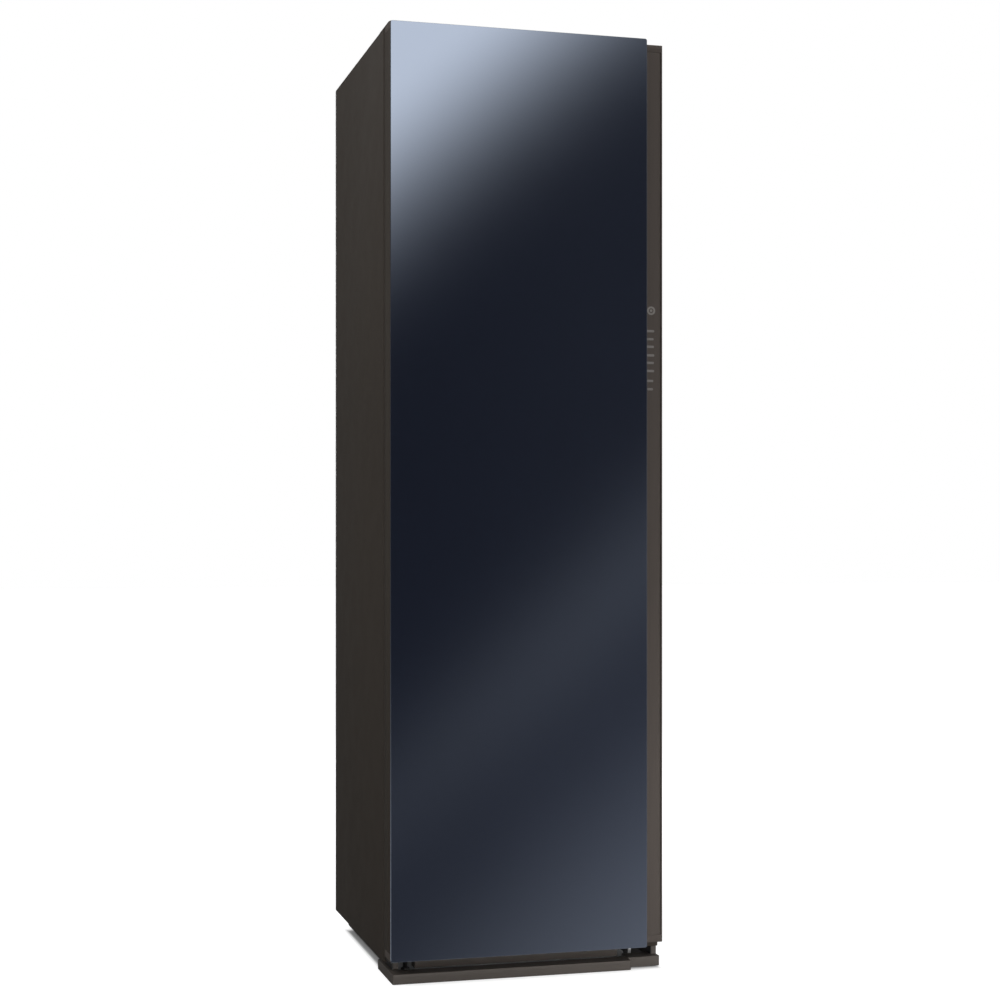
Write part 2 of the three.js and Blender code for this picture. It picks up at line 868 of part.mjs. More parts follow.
// Chamber liner: an open-fronted box with shelf ledges, an air well and holes for steam and for the rail
function chamberLiner() {
  const y0 = frameBack + fit;
  const shell = cut(
    block(-linerHalf, linerHalf, y0, linerBack, chamberFloor - linerWall, chamberTop + linerWall),
    block(-chamberHalf, chamberHalf, y0 - overrun, chamberBack, chamberFloor, chamberTop),
  );
  const z1 = chamberFloor + shelfLevel - fit;
  const ledge = (side) =>
    facing(
      outline([
        [side * (chamberHalf + bite), z1],
        [side * (chamberHalf - ledgeReach), z1],
        [side * (chamberHalf - ledgeReach), z1 - ledgeHeight / 2],
        [side * (chamberHalf + bite), z1 - ledgeHeight * 2],
      ]),
      y0,
      chamberBack,
    );
  const well = block(
    -wellWidth / 2, wellWidth / 2, wellStart, wellStart + wellLength, chamberFloor - linerWall - overrun,
    chamberFloor + overrun,
  );
  const steam = barZ(
    steamPipe + fit, chamberFloor - linerWall - overrun, chamberFloor + overrun, 0, chamberBack - steamBack,
  );
  const stalks = stalkPlaces.map((x) =>
    barZ(stalkRadius + fit, chamberTop - overrun, chamberTop + linerWall + overrun, x, chamberMiddle),
  );
  return cut(join(shell, ledge(-1), ledge(1)), well, steam, ...stalks);
}

// Foam jacket: left, back and right walls in one moulding
function insulationJacket() {
  const outer = sideInner - fit;
  const inner = linerHalf + fit;
  const y0 = frameBack + fit;
  const y1 = backInner - fit - rearFlangeGap;
  const shape = outline([
    [-outer, y0],
    [-inner, y0],
    [-inner, ductBack + fit],
    [inner, ductBack + fit],
    [inner, y0],
    [outer, y0],
    [outer, y1],
    [width / 2 - rearFlange - fit, y1],
    [width / 2 - rearFlange - fit, backInner - fit],
    [rearFlange + fit - width / 2, backInner - fit],
    [rearFlange + fit - width / 2, y1],
    [-outer, y1],
  ]);
  return upright(shape, chamberFloor - linerWall, roof - sheet - fit);
}
const rearFlangeGap = sheet + fit;

const stalkPlaces = [-1.5, 1.5].map((share) => share * hangerPitch);
const hangerPlaces = repeat(hangerCount, (i) => (i - (hangerCount - 1) / 2) * hangerPitch);

// Upright duct behind the liner, from the blower to the ceiling
const chuteLeft = blowerOffset + scrollStart * Math.cos((tongueDegrees * Math.PI) / 180);
const chuteRight = blowerOffset + scrollEnd;
const chuteTop = panTop + blowerHeight + blowerRise;
const ceilingDuctTop = chamberTop + linerWall + fit + ceilingDuctHeight;
function rearDuct() {
  const z0 = chuteTop + fit;
  const outer = block(chuteLeft, chuteRight, ductFront, ductBack, z0, ceilingDuctTop);
  const inner = block(
    chuteLeft + ductWall, chuteRight - ductWall, ductFront + ductWall, ductBack - ductWall, z0 - overrun,
    ceilingDuctTop - ductWall,
  );
  const mouth = block(
    chuteLeft + ductWall, chuteRight - ductWall, ductFront - overrun, ductFront + ductDepth / 2,
    ceilingDuctTop - ductWall - ductMouth, ceilingDuctTop - ductWall,
  );
  return cut(outer, inner, mouth);
}

// Flat duct over the chamber that feeds the rail
function ceilingDuct() {
  const half = width / 2 - ceilingDuctSide;
  const y1 = ductFront - fit;
  const y0 = chamberMiddle - ceilingDuctLead;
  const z0 = chamberTop + linerWall + fit;
  const outer = upright(
    outline([
      [-half, y0, ceilingDuctHeight],
      [half, y0, ceilingDuctHeight],
      [half, y1],
      [-half, y1],
    ]),
    z0,
    ceilingDuctTop,
  );
  const inner = upright(
    outline([
      [-half + ductWall, y0 + ductWall, ceilingDuctHeight],
      [half - ductWall, y0 + ductWall, ceilingDuctHeight],
      [half - ductWall, y1 - ductWall],
      [-half + ductWall, y1 - ductWall],
    ]),
    z0 + ductWall,
    ceilingDuctTop - ductWall,
  );
  const mouth = block(
    chuteLeft + ductWall, Math.min(chuteRight, half) - ductWall, y1 - ductWall * 2, y1 + overrun,
    ceilingDuctTop - ductWall - ductMouth, ceilingDuctTop - ductWall,
  );
  const stalks = stalkPlaces.map((x) =>
    barZ(stalkRadius + fit, z0 - overrun, z0 + ductWall + overrun, x, chamberMiddle),
  );
  return cut(outer, inner, mouth, ...stalks);
}

// Hollow air rail on two stalks, with a nozzle over each hanger's neck
function airRail() {
  const end = chamberHalf - railEnd;
  const top = chamberTop + linerWall + ductWall + stalkRise;
  const z = railLevel;
  const y = chamberMiddle;
  const outside = stalkPlaces.flatMap((x) => [
    barZ(stalkRadius, z, top, x, y),
    turned([
      [0, 0],
      [stalkRadius + railWall, 0],
      [railFlange, railFlangeHeight],
      [railFlange, railFlangeHeight * 2],
      [0, railFlangeHeight * 2],
    ]).translate([x, y, chamberTop - fit - railFlangeHeight * 2]),
  ]);
  const inside = stalkPlaces.map((x) => barZ(stalkRadius - railWall, z, top + overrun, x, y));
  const nozzles = hangerPlaces.map((x) => barZ(nozzleRadius, z - railRadius - overrun, z, x, y, tubeSides));
  return cut(
    join(barX(railRadius, -end, end, y, z), ...outside),
    barX(railRadius - railWall, -end + railWall, end - railWall, y, z),
    ...inside,
    ...nozzles,
  );
}

// Ring of the hollow shoulder at share t of its reach, -1 to 1
function shoulderRing(t, wall) {
  const spread = Math.abs(t);
  const half = shoulderRoot + (shoulderTip - shoulderRoot) * spread ** 2 - wall;
  const tipShare = Math.sqrt(Math.max(0.08, 1 - spread ** 8));
  const tall = shoulderHeight * (1 - spread / 4) * tipShare - wall;
  const y = t * (hangerReach - wall);
  const z = -hangerNeck - hangerDrop * spread ** 1.5;
  return repeat(shoulderSides, (i) => {
    const turn = (i / shoulderSides) * 2 * Math.PI;
    return [half * tipShare * Math.cos(turn), y, z + tall * Math.sin(turn)];
  });
}

// Hollow air hanger about the rail's axis: hook, socket under the nozzle, and shoulders with air slots
function airHanger() {
  const inner = railRadius + run;
  const outer = inner + hookWall;
  const socketTop = -(railRadius + hookGap);
  const hook = new THREE.Shape();
  hook.moveTo(-outer, 0);
  hook.lineTo(-inner, 0);
  hook.absarc(0, 0, inner, Math.PI, 0, true);
  hook.lineTo(inner, socketTop - bite);
  hook.lineTo(outer, socketTop - bite);
  hook.lineTo(outer, 0);
  hook.absarc(0, 0, outer, 0, Math.PI, false);
  const strap = sideways(hook, -hookWidth / 2, hookWidth / 2);
  const neck = (wall) => {
    const level = (share) => socketTop - share * (hangerNeck + socketTop);
    const ring = (halfX, halfY, z) =>
      repeat(shoulderSides, (i) => {
        const turn = (i / shoulderSides) * 2 * Math.PI;
        return [(halfX - wall) * Math.cos(turn), (halfY - wall) * Math.sin(turn), z];
      });
    return loft([
      ring(socketWidth / 2, outer, level(0) + (wall ? overrun : 0)),
      ring(socketWidth / 2, outer, level(0)),
      ring(shoulderRoot - bite, outer * 0.8, level(0.6)),
      ring(shoulderRoot - bite, outer, level(1) - (wall ? 0 : bite)),
    ].slice(wall ? 0 : 1));
  };
  const shares = repeat(shoulderSteps + 1, (i) => (i / shoulderSteps) * 2 - 1);
  const shoulders = loft(shares.map((t) => shoulderRing(t, 0)));
  const hollow = loft(shares.slice(1, -1).map((t) => shoulderRing(t, hangerWall)));
  const slots = [-0.9, -0.7, -0.5, 0.5, 0.7, 0.9].map((share) => {
    const y = share * hangerReach;
    const z = -hangerNeck - hangerDrop * Math.abs(share) ** 1.5;
    return block(
      -slotWidth / 2, slotWidth / 2, y - slotLength / 2, y + slotLength / 2, z, z + shoulderHeight + overrun,
    );
  });
  return cut(join(strap, neck(0), shoulders), neck(hangerWall), hollow, ...slots);
}

// Lamp bar under the front of the ceiling
function lightBar() {
  const y0 = frameBack + lightFront;
  const shape = outline([
    [y0, chamberTop - fit],
    [y0 + lightHeight / 4, chamberTop - fit - lightHeight, lightHeight / 2],
    [y0 + lightDepth - lightHeight / 4, chamberTop - fit - lightHeight, lightHeight / 2],
    [y0 + lightDepth, chamberTop - fit],
  ]);
  return sideways(shape, -lightLength / 2, lightLength / 2);
}

// Bars across a window, evenly spaced
const bars = (count, share, from, to, make) => {
  const pitch = (to - from) / count;
  return repeat(count, (i) => {
    const middle = from + (i + 0.5) * pitch;
    return make(middle - (pitch * share) / 2, middle + (pitch * share) / 2);
  });
};

// Slatted shelf on the ledges
function shelf() {
  const half = chamberHalf - run;
  const y0 = bodyFront + shelfFront;
  const y1 = chamberBack - shelfRear;
  const z0 = chamberFloor + shelfLevel;
  const z1 = z0 + shelfThickness;
  const tray = upright(rectangle(-half, half, y0, y1, shelfBorder / 2), z0, z1);
  const gaps = bars(shelfSlats, shelfSlatShare, -half + shelfBorder, half - shelfBorder, (x0, x1) =>
    upright(
      rectangle(x0, x1, y0 + shelfBorder, y1 - shelfBorder, (x1 - x0) / 3), z0 - overrun, z1 + overrun,
    ),
  );
  return cut(tray, ...gaps);
}

// Air well under the chamber floor that holds the lint filter
function filterHousing() {
  const x1 = wellWidth / 2;
  const z1 = chamberFloor - linerWall - fit;
  const outer = block(-x1 - wellWall, x1 + wellWall, wellStart - wellWall, wellStart + wellLength + wellWall,
    wellBottom, z1);
  const inner = block(-x1, x1, wellStart, wellStart + wellLength, wellBottom + wellWall, z1 + overrun);
  const outlet = block(
    -x1 + filterBorder, x1 - filterBorder, wellStart + wellLength - overrun,
    wellStart + wellLength + wellWall + overrun, wellBottom + wellWall + filterBorder, z1 - filterBorder,
  );
  return cut(outer, inner, outlet);
}

const filterStart = wellStart + filterFront;
const filterHalf = wellWidth / 2 - grilleBorder;

// Floor grille over the well, with slats and a slot for the filter
function floorGrille() {
  const x1 = wellWidth / 2 + grilleBorder;
  const y0 = wellStart - grilleBorder;
  const y1 = wellStart + wellLength + grilleBorder;
  const z0 = chamberFloor + fit;
  const plate = upright(rectangle(-x1, x1, y0, y1, grilleBorder), z0, z0 + grilleSheet);
  const slot = block(
    -filterHalf - run, filterHalf + run, filterStart - run, filterStart + filterThickness + run, z0 - overrun,
    z0 + grilleSheet + overrun,
  );
  const window = (from, to, count) =>
    bars(count, grilleSlatShare, from, to, (v0, v1) =>
      block(-filterHalf, filterHalf, v0, v1, z0 - overrun, z0 + grilleSheet + overrun),
    );
  const rest = filterStart + filterThickness + grilleBorder / 2;
  return cut(
    plate,
    slot,
    ...window(wellStart, filterStart - grilleBorder / 2, 3),
    ...window(rest, wellStart + wellLength, grilleSlats - 2),
  );
}

// Lint filter: a framed mesh that stands in the well, with a flange and a pull
function lintFilter() {
  const z0 = wellBottom + wellWall + fit;
  const top = chamberFloor + fit + grilleSheet + fit;
  const y0 = filterStart;
  const y1 = filterStart + filterThickness;
  const frame = block(-filterHalf, filterHalf, y0, y1, z0, top + bite);
  const middle = (y0 + y1) / 2;
  const windows = [-1, 1].map((side) => {
    const near = side * (filterBorder / 2);
    const far = side * (filterHalf - filterBorder);
    const x0 = Math.min(near, far);
    const x1 = Math.max(near, far);
    const low = z0 + filterBorder;
    const high = chamberFloor - linerWall - filterBorder;
    return [
      block(x0, x1, y0 - overrun, middle - filterMesh / 2, low, high),
      block(x0, x1, middle + filterMesh / 2, y1 + overrun, low, high),
    ];
  });
  const flange = upright(
    rectangle(-filterHalf - filterFlange, filterHalf + filterFlange, y0 - filterFlange, y1 + filterFlange,
      filterFlange),
    top,
    top + filterFlangeHeight,
  );
  const gripTop = top + filterFlangeHeight + filterGripRise;
  const grip = facing(
    rectangle(-filterGrip / 2, filterGrip / 2, top, gripTop, filterFlange * 1.5),
    middle - filterFlangeHeight,
    middle + filterFlangeHeight,
  );
  const hole = facing(
    rectangle(
      -filterGrip / 2 + filterFlange, filterGrip / 2 - filterFlange, top + filterFlangeHeight,
      top + filterGripRise - filterFlangeHeight, filterFlange,
    ),
    y0 - overrun,
    y1 + overrun,
  );
  return cut(join(frame, flange, cut(grip, hole)), ...windows.flat());
}

// Steam outlet on the chamber floor, with its pipe through the liner
function steamOutlet() {
  const y = chamberBack - steamBack;
  const z0 = chamberFloor + fit;
  const hood = (wall) =>
    loft([
      [[-1, -1], [1, -1], [1, 1], [-1, 1]].map(([sx, sy]) => [
        sx * (steamWidth / 2 - wall), y + sy * (steamLength / 2 - wall), z0 - (wall ? overrun : 0),
      ]),
      [[-1, -1], [1, -1], [1, 1], [-1, 1]].map(([sx, sy]) => [
        sx * (steamWidth / 2 - wall - steamHeight / 2), y + sy * (steamLength / 2 - wall - steamHeight / 2),
        z0 + steamHeight - wall,
      ]),
    ]);
  const slots = bars(steamSlots, steamSlotShare, -steamWidth / 2 + steamHeight, steamWidth / 2 - steamHeight,
    (x0, x1) =>
      block(x0, x1, y - steamLength / 2 - overrun, y + steamLength / 4, z0 + steamHeight / 2.5,
        z0 + steamHeight + overrun),
  );
  const base = block(
    -steamWidth / 2, steamWidth / 2, y - steamLength / 2, y + steamLength / 2, z0, z0 + steamWall,
  );
  const low = chamberFloor - steamPipeDrop;
  const pipe = barZ(steamPipe, low, z0 + steamWall, 0, y);
  const bore = barZ(steamPipe - steamWall, low - overrun, z0 + steamWall + overrun, 0, y);
  return cut(join(cut(hood(0), hood(steamWall)), base, pipe), ...slots.map((one) => cut(one, base)), bore);
}

// Open-fronted bay with a divider between the two tanks
function tankBay() {
  const y0 = frameBack + fit;
  const z1 = bayFloor + bayHeight;
  const box = block(-linerHalf, linerHalf, y0, bayBack, bayFloor - bayWall, z1 + bayWall);
  const inside = block(-chamberHalf, chamberHalf, y0 - overrun, bayBack - bayWall, bayFloor, z1);
  const divider = block(-bayDivider / 2, bayDivider / 2, y0, bayBack, bayFloor - bite, z1 + bite);
  return join(cut(box, inside), divider);
}

const tankFace = bodyFront + tankFront + tankGrip;
const tankBack = bayBack - bayWall - run;
const tankInner = bayDivider / 2 + run;
const tankOuter = chamberHalf - run;
const tankTop = bayFloor + bayHeight - tankHeadroom - lidHeight;

// Water tank, open on top, with a hooked pull on its front
function waterTank(side) {
  const [x0, x1] = [side * tankInner, side * tankOuter].sort((a, b) => a - b);
  const z0 = bayFloor + fit;
  const shell = upright(rectangle(x0, x1, tankFace, tankBack, tankRadius), z0, tankTop);
  const inside = upright(
    rectangle(x0 + tankWall, x1 - tankWall, tankFace + tankWall, tankBack - tankWall, tankRadius - tankWall),
    z0 + tankWall,
    tankTop + overrun,
  );
  const middle = (x0 + x1) / 2;
  const level = tankTop - tankGripHeight;
  const pull = sideways(
    outline([
      [tankFace + bite, level + tankGripHeight / 2],
      [tankFace - tankGrip, level + tankGripHeight / 2, tankWall],
      [tankFace - tankGrip, level - tankGripHeight / 2, tankWall],
      [tankFace - tankGrip + tankWall, level - tankGripHeight / 2],
      [tankFace - tankGrip + tankWall, level + tankGripHeight / 2 - tankWall],
      [tankFace + bite, level + tankGripHeight / 2 - tankWall],
    ]),
    middle - tankGripWidth / 2,
    middle + tankGripWidth / 2,
  );
  return join(cut(shell, inside), pull);
}

// Tank lid with a rim inside the tank's wall and a filling cap
function tankLid(side) {
  const [x0, x1] = [side * tankInner, side * tankOuter].sort((a, b) => a - b);
  const z0 = tankTop + fit;
  const inset = tankWall + fit;
  const lid = upright(rectangle(x0, x1, tankFace, tankBack, tankRadius), z0, z0 + lidHeight - capRise);
  const rim = cut(
    upright(
      rectangle(x0 + inset, x1 - inset, tankFace + inset, tankBack - inset, tankRadius - inset), z0 - lidRim,
      z0 + bite,
    ),
    upright(
      rectangle(x0 + inset + tankWall, x1 - inset - tankWall, tankFace + inset + tankWall,
        tankBack - inset - tankWall, tankRadius - inset - tankWall),
      z0 - lidRim - overrun,
      z0,
    ),
  );
  const cap = barZ(capRadius, z0, z0 + lidHeight, (x0 + x1) / 2, (tankFace + tankBack) / 2);
  return join(lid, rim, cap);
}

// Compressor: domed can on a plate with rubber feet, and its accumulator
function compressor() {
  const r = compressorRadius;
  const z0 = compressorFoot;
  const can = turned([
    [0, z0],
    [r, z0],
    [r, compressorHeight - compressorDome],
    [r * 0.86, compressorHeight - compressorDome * 0.35],
    [r * 0.4, compressorHeight],
    [0, compressorHeight],
  ]);
  const half = compressorPlateHalf;
  const plate = upright(
    rectangle(-half, half, -half, half, rubberRadius),
    z0,
    z0 + compressorPlate,
  );
  const place = compressorPlateHalf - rubberRadius;
  const feet = [[-1, -1], [1, -1], [1, 1], [-1, 1]].map(([sx, sy]) =>
    barZ(rubberRadius, 0, z0 + compressorPlate * 2, sx * place, sy * place, tubeSides * 2),
  );
  const bottle = barZ(
    r / 3, z0 + compressorDome * 1.5, compressorHeight - compressorDome, r * 1.25, 0, tubeSides * 2,
  );
  const strap = block(
    r / 2, r * 1.1, -rubberRadius, rubberRadius, compressorHeight / 2, compressorHeight / 2 + compressorDome,
  );
  return join(can, plate, ...feet, bottle, strap).translate([compressorX, compressorY, floorStand]);
}

// Steam generator: ribbed boiler on four legs
function steamGenerator() {
  const z0 = boilerLeg;
  const body = upright(
    rectangle(-boilerWidth / 2, boilerWidth / 2, -boilerDepth / 2, boilerDepth / 2, boilerRadius), z0,
    z0 + boilerHeight,
  );
  const ribs = bars(boilerFins, 0.3, z0, z0 + boilerHeight, (v0, v1) =>
    upright(
      rectangle(-boilerWidth / 2 - boilerRadius / 3, boilerWidth / 2 + boilerRadius / 3,
        -boilerDepth / 2 - boilerRadius / 3, boilerDepth / 2 + boilerRadius / 3, boilerRadius),
      v0,
      v1,
    ),
  );
  const legs = [[-1, -1], [1, -1], [1, 1], [-1, 1]].map(([sx, sy]) => {
    const x = sx * (boilerWidth / 2 - boilerRadius);
    const y = sy * (boilerDepth / 2 - boilerRadius);
    return block(x - boilerLeg / 2, x + boilerLeg / 2, y - boilerLeg / 2, y + boilerLeg / 2, 0, z0 + bite);
  });
  return join(body, ...ribs, ...legs);
}

// Water pump: motor can lying on a saddle
function waterPump() {
  const can = barY(pumpRadius, 0, pumpLength, 0, pumpHeight);
  const head = barY(pumpRadius * 1.25, -pumpLength / 4, bite, 0, pumpHeight);
  const saddle = block(-pumpRadius, pumpRadius, pumpLength / 4, (pumpLength * 3) / 4, 0, pumpHeight);
  return join(can, head, saddle);
}

// Electronics box on the left wall of the machine room, with a stepped cover
function controlBox() {
  const x0 = -sideInner + fit;
  const y0 = bayBack + controlRadius * 2;
  const z0 = panTop + controlRise - controlHeight / 2;
  const base = sideways(
    rectangle(y0, y0 + controlLength, z0, z0 + controlHeight, controlRadius), x0, x0 + controlDepth * 0.6,
  );
  const lid = sideways(
    rectangle(y0 + controlRadius, y0 + controlLength - controlRadius, z0 + controlRadius,
      z0 + controlHeight - controlRadius, controlRadius),
    x0 + controlDepth * 0.6 - bite,
    x0 + controlDepth,
  );
  return join(base, lid);
}

const tunnelX0 = left + tunnelLeft;
const tunnelX1 = right - tunnelRight;
const tunnelY0 = bayBack + fit;
const tunnelZ0 = panTop + tunnelRise;
const tunnelZ1 = tunnelZ0 + tunnelHeight;
const scrollFront = ductBack - blowerDepth;
const tunnelY1 = scrollFront - fit;
const wheelX = blowerOffset;
const wheelZ = panTop + blowerHeight;

// Air tunnel: foam housing with a throat up to the air well and two ribs down to the pan
function airTunnel() {
  const wellOutlet = wellStart + wellLength + wellWall + fit;
  const throatX = Math.min(tunnelX0 + tunnelThroat, wellWidth / 2);
  const throatTop = chamberFloor - linerWall - fit;
  const throatY0 = Math.max(wellOutlet, tunnelY0);
  const throatY1 = throatY0 + tunnelThroat;
  const outer = join(
    block(tunnelX0, tunnelX1, tunnelY0, tunnelY1, tunnelZ0, tunnelZ1),
    block(tunnelX0, throatX, throatY0, throatY1, tunnelZ1 - bite, throatTop),
    ...[tunnelX0, tunnelX1 - tunnelRib].map((x) =>
      block(x, x + tunnelRib, tunnelY0, tunnelY1, panTop + fit, tunnelZ0 + bite),
    ),
  );
  const w = tunnelWall;
  const inner = block(tunnelX0 + w, tunnelX1 - w, tunnelY0 + w, tunnelY1 - w, tunnelZ0 + w, tunnelZ1 - w);
  const throat = block(
    tunnelX0 + w, throatX - w, throatY0 + w, throatY1 - w, tunnelZ1 - 2 * w, throatTop - w,
  );
  const inlet = block(
    tunnelX0 + w, throatX - w, throatY0 - overrun, throatY0 + 2 * w,
    Math.max(wellBottom, tunnelZ1) + filterBorder, throatTop - w,
  );
  const outlet = barY(wheelEye, tunnelY1 - w * 2, tunnelY1 + overrun, wheelX, wheelZ);
  const port = barX(pipeRadius + run, tunnelX0 - overrun, tunnelX0 + w + overrun, condenserY, coilPort);
  return cut(outer, inner, throat, inlet, outlet, port);
}
const evaporatorStart = tunnelY0 + tunnelWall + coilGap;
const condenserStart = evaporatorStart + coilLength + coilGap;
const condenserY = condenserStart + coilLength / 2;
const coilPort = tunnelZ0 + tunnelWall + coilHeight * 0.75;

// Finned coil: end plates and fins on a core, as one block
function coil(y0) {
  const x0 = tunnelX0 + tunnelWall + fit;
  const x1 = tunnelX1 - tunnelWall - fit;
  const z0 = tunnelZ0 + tunnelWall + fit;
  const y1 = y0 + coilLength;
  const root = (coilLength * coilRootShare) / 2;
  const middle = (y0 + y1) / 2;
  const grooves = bars(coilFins, 1 - coilFinShare, x0 + pipeRadius, x1 - pipeRadius, (u0, u1) => [
    block(u0, u1, y0 - overrun, middle - root, z0 + pipeRadius, z0 + coilHeight - pipeRadius),
    block(u0, u1, middle + root, y1 + overrun, z0 + pipeRadius, z0 + coilHeight - pipeRadius),
  ]);
  return cut(block(x0, x1, y0, y1, z0, z0 + coilHeight), ...grooves.flat());
}

// Point of the blower's spiral at share s of its turn, inset by a wall
function scrollPoint(s, inset) {
  const turn = ((tongueDegrees + s * (360 - tongueDegrees)) * Math.PI) / 180;
  const r = scrollStart + (scrollEnd - scrollStart) * s - inset;
  return [wheelX + r * Math.cos(turn), wheelZ + r * Math.sin(turn)];
}

// Outline of the spiral with its chute
function scrollOutline(inset, top) {
  const spiral = repeat(scrollSteps + 1, (i) => scrollPoint(i / scrollSteps, inset));
  const chuteX = spiral.at(0)[0] + (inset ? inset - (spiral.at(0)[0] - chuteLeft) : 0);
  const step = inset ? [[chuteX, spiral[0][1]]] : [];
  return outline([[chuteX, top], ...step, ...spiral, [spiral.at(-1)[0], top]]);
}

// Blower housing: spiral shell with an inlet in front, the chute open on top and the motor on its back wall
function blowerHousing() {
  const y0 = scrollFront;
  const y1 = ductBack;
  const outer = facing(scrollOutline(0, chuteTop), y0, y1);
  const inner = facing(scrollOutline(blowerWall, chuteTop + overrun), y0 + blowerWall, y1 - blowerWall);
  const inlet = barY(wheelEye, y0 - overrun, y0 + blowerWall + overrun, wheelX, wheelZ);
  const leg = block(
    wheelX - hubRadius * 2, wheelX + hubRadius * 2, y0, y1, panTop + fit, wheelZ - scrollStart,
  );
  const motorBack = y1 - blowerWall + bite;
  const motorFront = motorBack - motorLength;
  const shaftFront = motorFront - wheelSheet * 3;
  const motor = barY(motorRadius, motorFront, motorBack, wheelX, wheelZ);
  const shaft = barY(shaftRadius, shaftFront, motorFront + bite, wheelX, wheelZ, tubeSides * 2);
  return join(cut(join(outer, leg), inner, inlet), motor, shaft);
}

// Blower wheel about its axis: disc with a hub, a ring of curved blades and a front ring
function blowerWheel() {
  const y1 = -fit * 3;
  const y0 = y1 - wheelWidth;
  const disc = barY(wheelRadius, y1 - wheelSheet, y1, 0, 0, fineSides);
  const ring = cut(
    barY(wheelRadius, y0, y0 + wheelSheet, 0, 0, fineSides),
    barY(wheelEye, y0 - overrun, y0 + wheelSheet + overrun, 0, 0, fineSides),
  );
  const bladeRoot = wheelEye + wheelSheet;
  const bladeTip = wheelRadius - wheelSheet / 2;
  const blades = repeat(wheelBlades, (i) => {
    const points = repeat(filletSteps + 1, (j) => {
      const share = j / filletSteps;
      const r = bladeRoot + (bladeTip - bladeRoot) * share;
      const turn = (i / wheelBlades) * 2 * Math.PI + ((bladeSweep * Math.PI) / 180) * share ** 2;
      return [r, turn];
    });
    const polar = (r, turn) => [r * Math.cos(turn), r * Math.sin(turn)];
    const edge = (offset) => points.map(([r, turn]) => polar(r, turn + offset / r));
    const half = bladeThickness / 2;
    return facing(outline([...edge(-half), ...edge(half).reverse()]), y0 + bite, y1 - bite);
  });
  const hub = barY(hubRadius, y1 - wheelSheet * 2, y1, 0, 0);
  const bore = barY(shaftRadius + fit, y0 - overrun, y1 + overrun, 0, 0, tubeSides * 2);
  return cut(join(disc, ring, ...blades, hub), bore);
}

const compressorX = left + compressorLeft;
const compressorY = back - compressorRear;
const compressorTop = panTop + fit + compressorHeight;
const boilerX = left + boilerLeft + boilerWidth / 2;
const boilerY = bayBack + boilerDepth / 2 + boilerRadius;
const boilerTop = panTop + fit + boilerLeg + boilerHeight;

// Discharge line from the compressor's dome to the condenser
function dischargePipe() {
  const high = compressorTop + compressorDome * 1.5;
  const reach = compressorDome;
  return tube(
    [
      [compressorX, compressorY, compressorTop - bite],
      [compressorX, compressorY, compressorTop + reach / 2],
      [compressorX + reach, compressorY - reach / 2, high],
      [tunnelX0 - reach * 1.5, condenserY, high],
      [tunnelX0 - reach, condenserY, coilPort + reach / 2],
      [tunnelX0 - reach / 2, condenserY, coilPort],
      [tunnelX0, condenserY, coilPort],
      [tunnelX0 + tunnelWall, condenserY, coilPort],
    ],
    pipeRadius,
  );
}

// Steam hose from the boiler to the outlet's pipe
function steamHose() {
  const pipeEnd = chamberFloor - steamPipeDrop - fit;
  const y = chamberBack - steamBack;
  const rise = hoseRadius * 3;
  const x = boilerX + boilerWidth / 4;
  return tube(
    [
      [x, boilerY, boilerTop + fit],
      [x, boilerY, boilerTop + rise],
      [x, (boilerY * 3 + y) / 4, pipeEnd - rise * 2],
      [x / 2, (boilerY + y) / 2, pipeEnd - rise * 1.5],
      [0, y, pipeEnd - rise],
      [0, y, pipeEnd],
    ],
    hoseRadius,
  );
}

// Bush in the back panel where the mains lead enters
function cordGland() {
  const x = right - glandSide;
  return cut(
    join(
      barY(glandFlange, backSkin + fit, back, x, glandLevel),
      barY(glandRadius, back - glandLength, back - bite, x, glandLevel),
    ),
    barY(glandBore, back - glandLength - overrun, back + overrun, x, glandLevel),
  );
}

// Assembly of the body
place(cabinet, "side_panel_left", "shell", sidePanel(-1));
place(cabinet, "side_panel_right", "shell", sidePanel(1));
place(cabinet, "top_panel", "shell", topPanel());
place(cabinet, "back_panel", "zinc", backPanel());
place(cabinet, "base_pan", "zinc", basePan());
place(cabinet, "frame_stile_left", "chamber", frameStile(-1));
place(cabinet, "frame_stile_right", "chamber", frameStile(1));
place(cabinet, "frame_rail_top", "chamber", frameRail(chamberTop, frameTop));
place(cabinet, "frame_rail_middle", "chamber", frameRail(bayFloor + bayHeight, chamberFloor));
place(cabinet, "frame_rail_bottom", "chamber", frameRail(floorGap, bayFloor));
place(cabinet, "kick_panel", "strip", kickPanel());
place(cabinet, "base_plate", "strip", basePlate());
place(cabinet, "cord_gland", "black", cordGland());
for (const [name, x, y] of footPlaces) {
  place(cabinet, name, "black", levellingFoot()).position.set(x, y, 0);
}

// Hinge hardware
place(cabinet, "upper_hinge_bracket", "zinc", upperHingeBracket());
place(cabinet, "lower_hinge_bracket", "zinc", lowerHingeBracket());
place(cabinet, "hinge_cover", "dark", hingeCover());

// Door about its hinge axis
const door = new THREE.Group();
door.position.set(hingeX, hingeY, 0);
cabinet.add(door);
place(door, "door_glass", "glass", doorGlass());
place(door, "door_trim_left", "shell", doorTrimLeft());
place(door, "grip_strip", "strip", gripStrip());
place(door, "door_core", "foam", doorCore());
place(door, "touch_board", "dark", touchBoard());
place(door, "door_cap_top", "strip", doorCap(capTop, doorTop));
place(door, "door_cap_bottom", "strip", doorCap(doorBottom, capBottom));
place(door, "door_liner", "chamber", doorLiner());
place(door, "door_gasket", "seal", doorGasket());

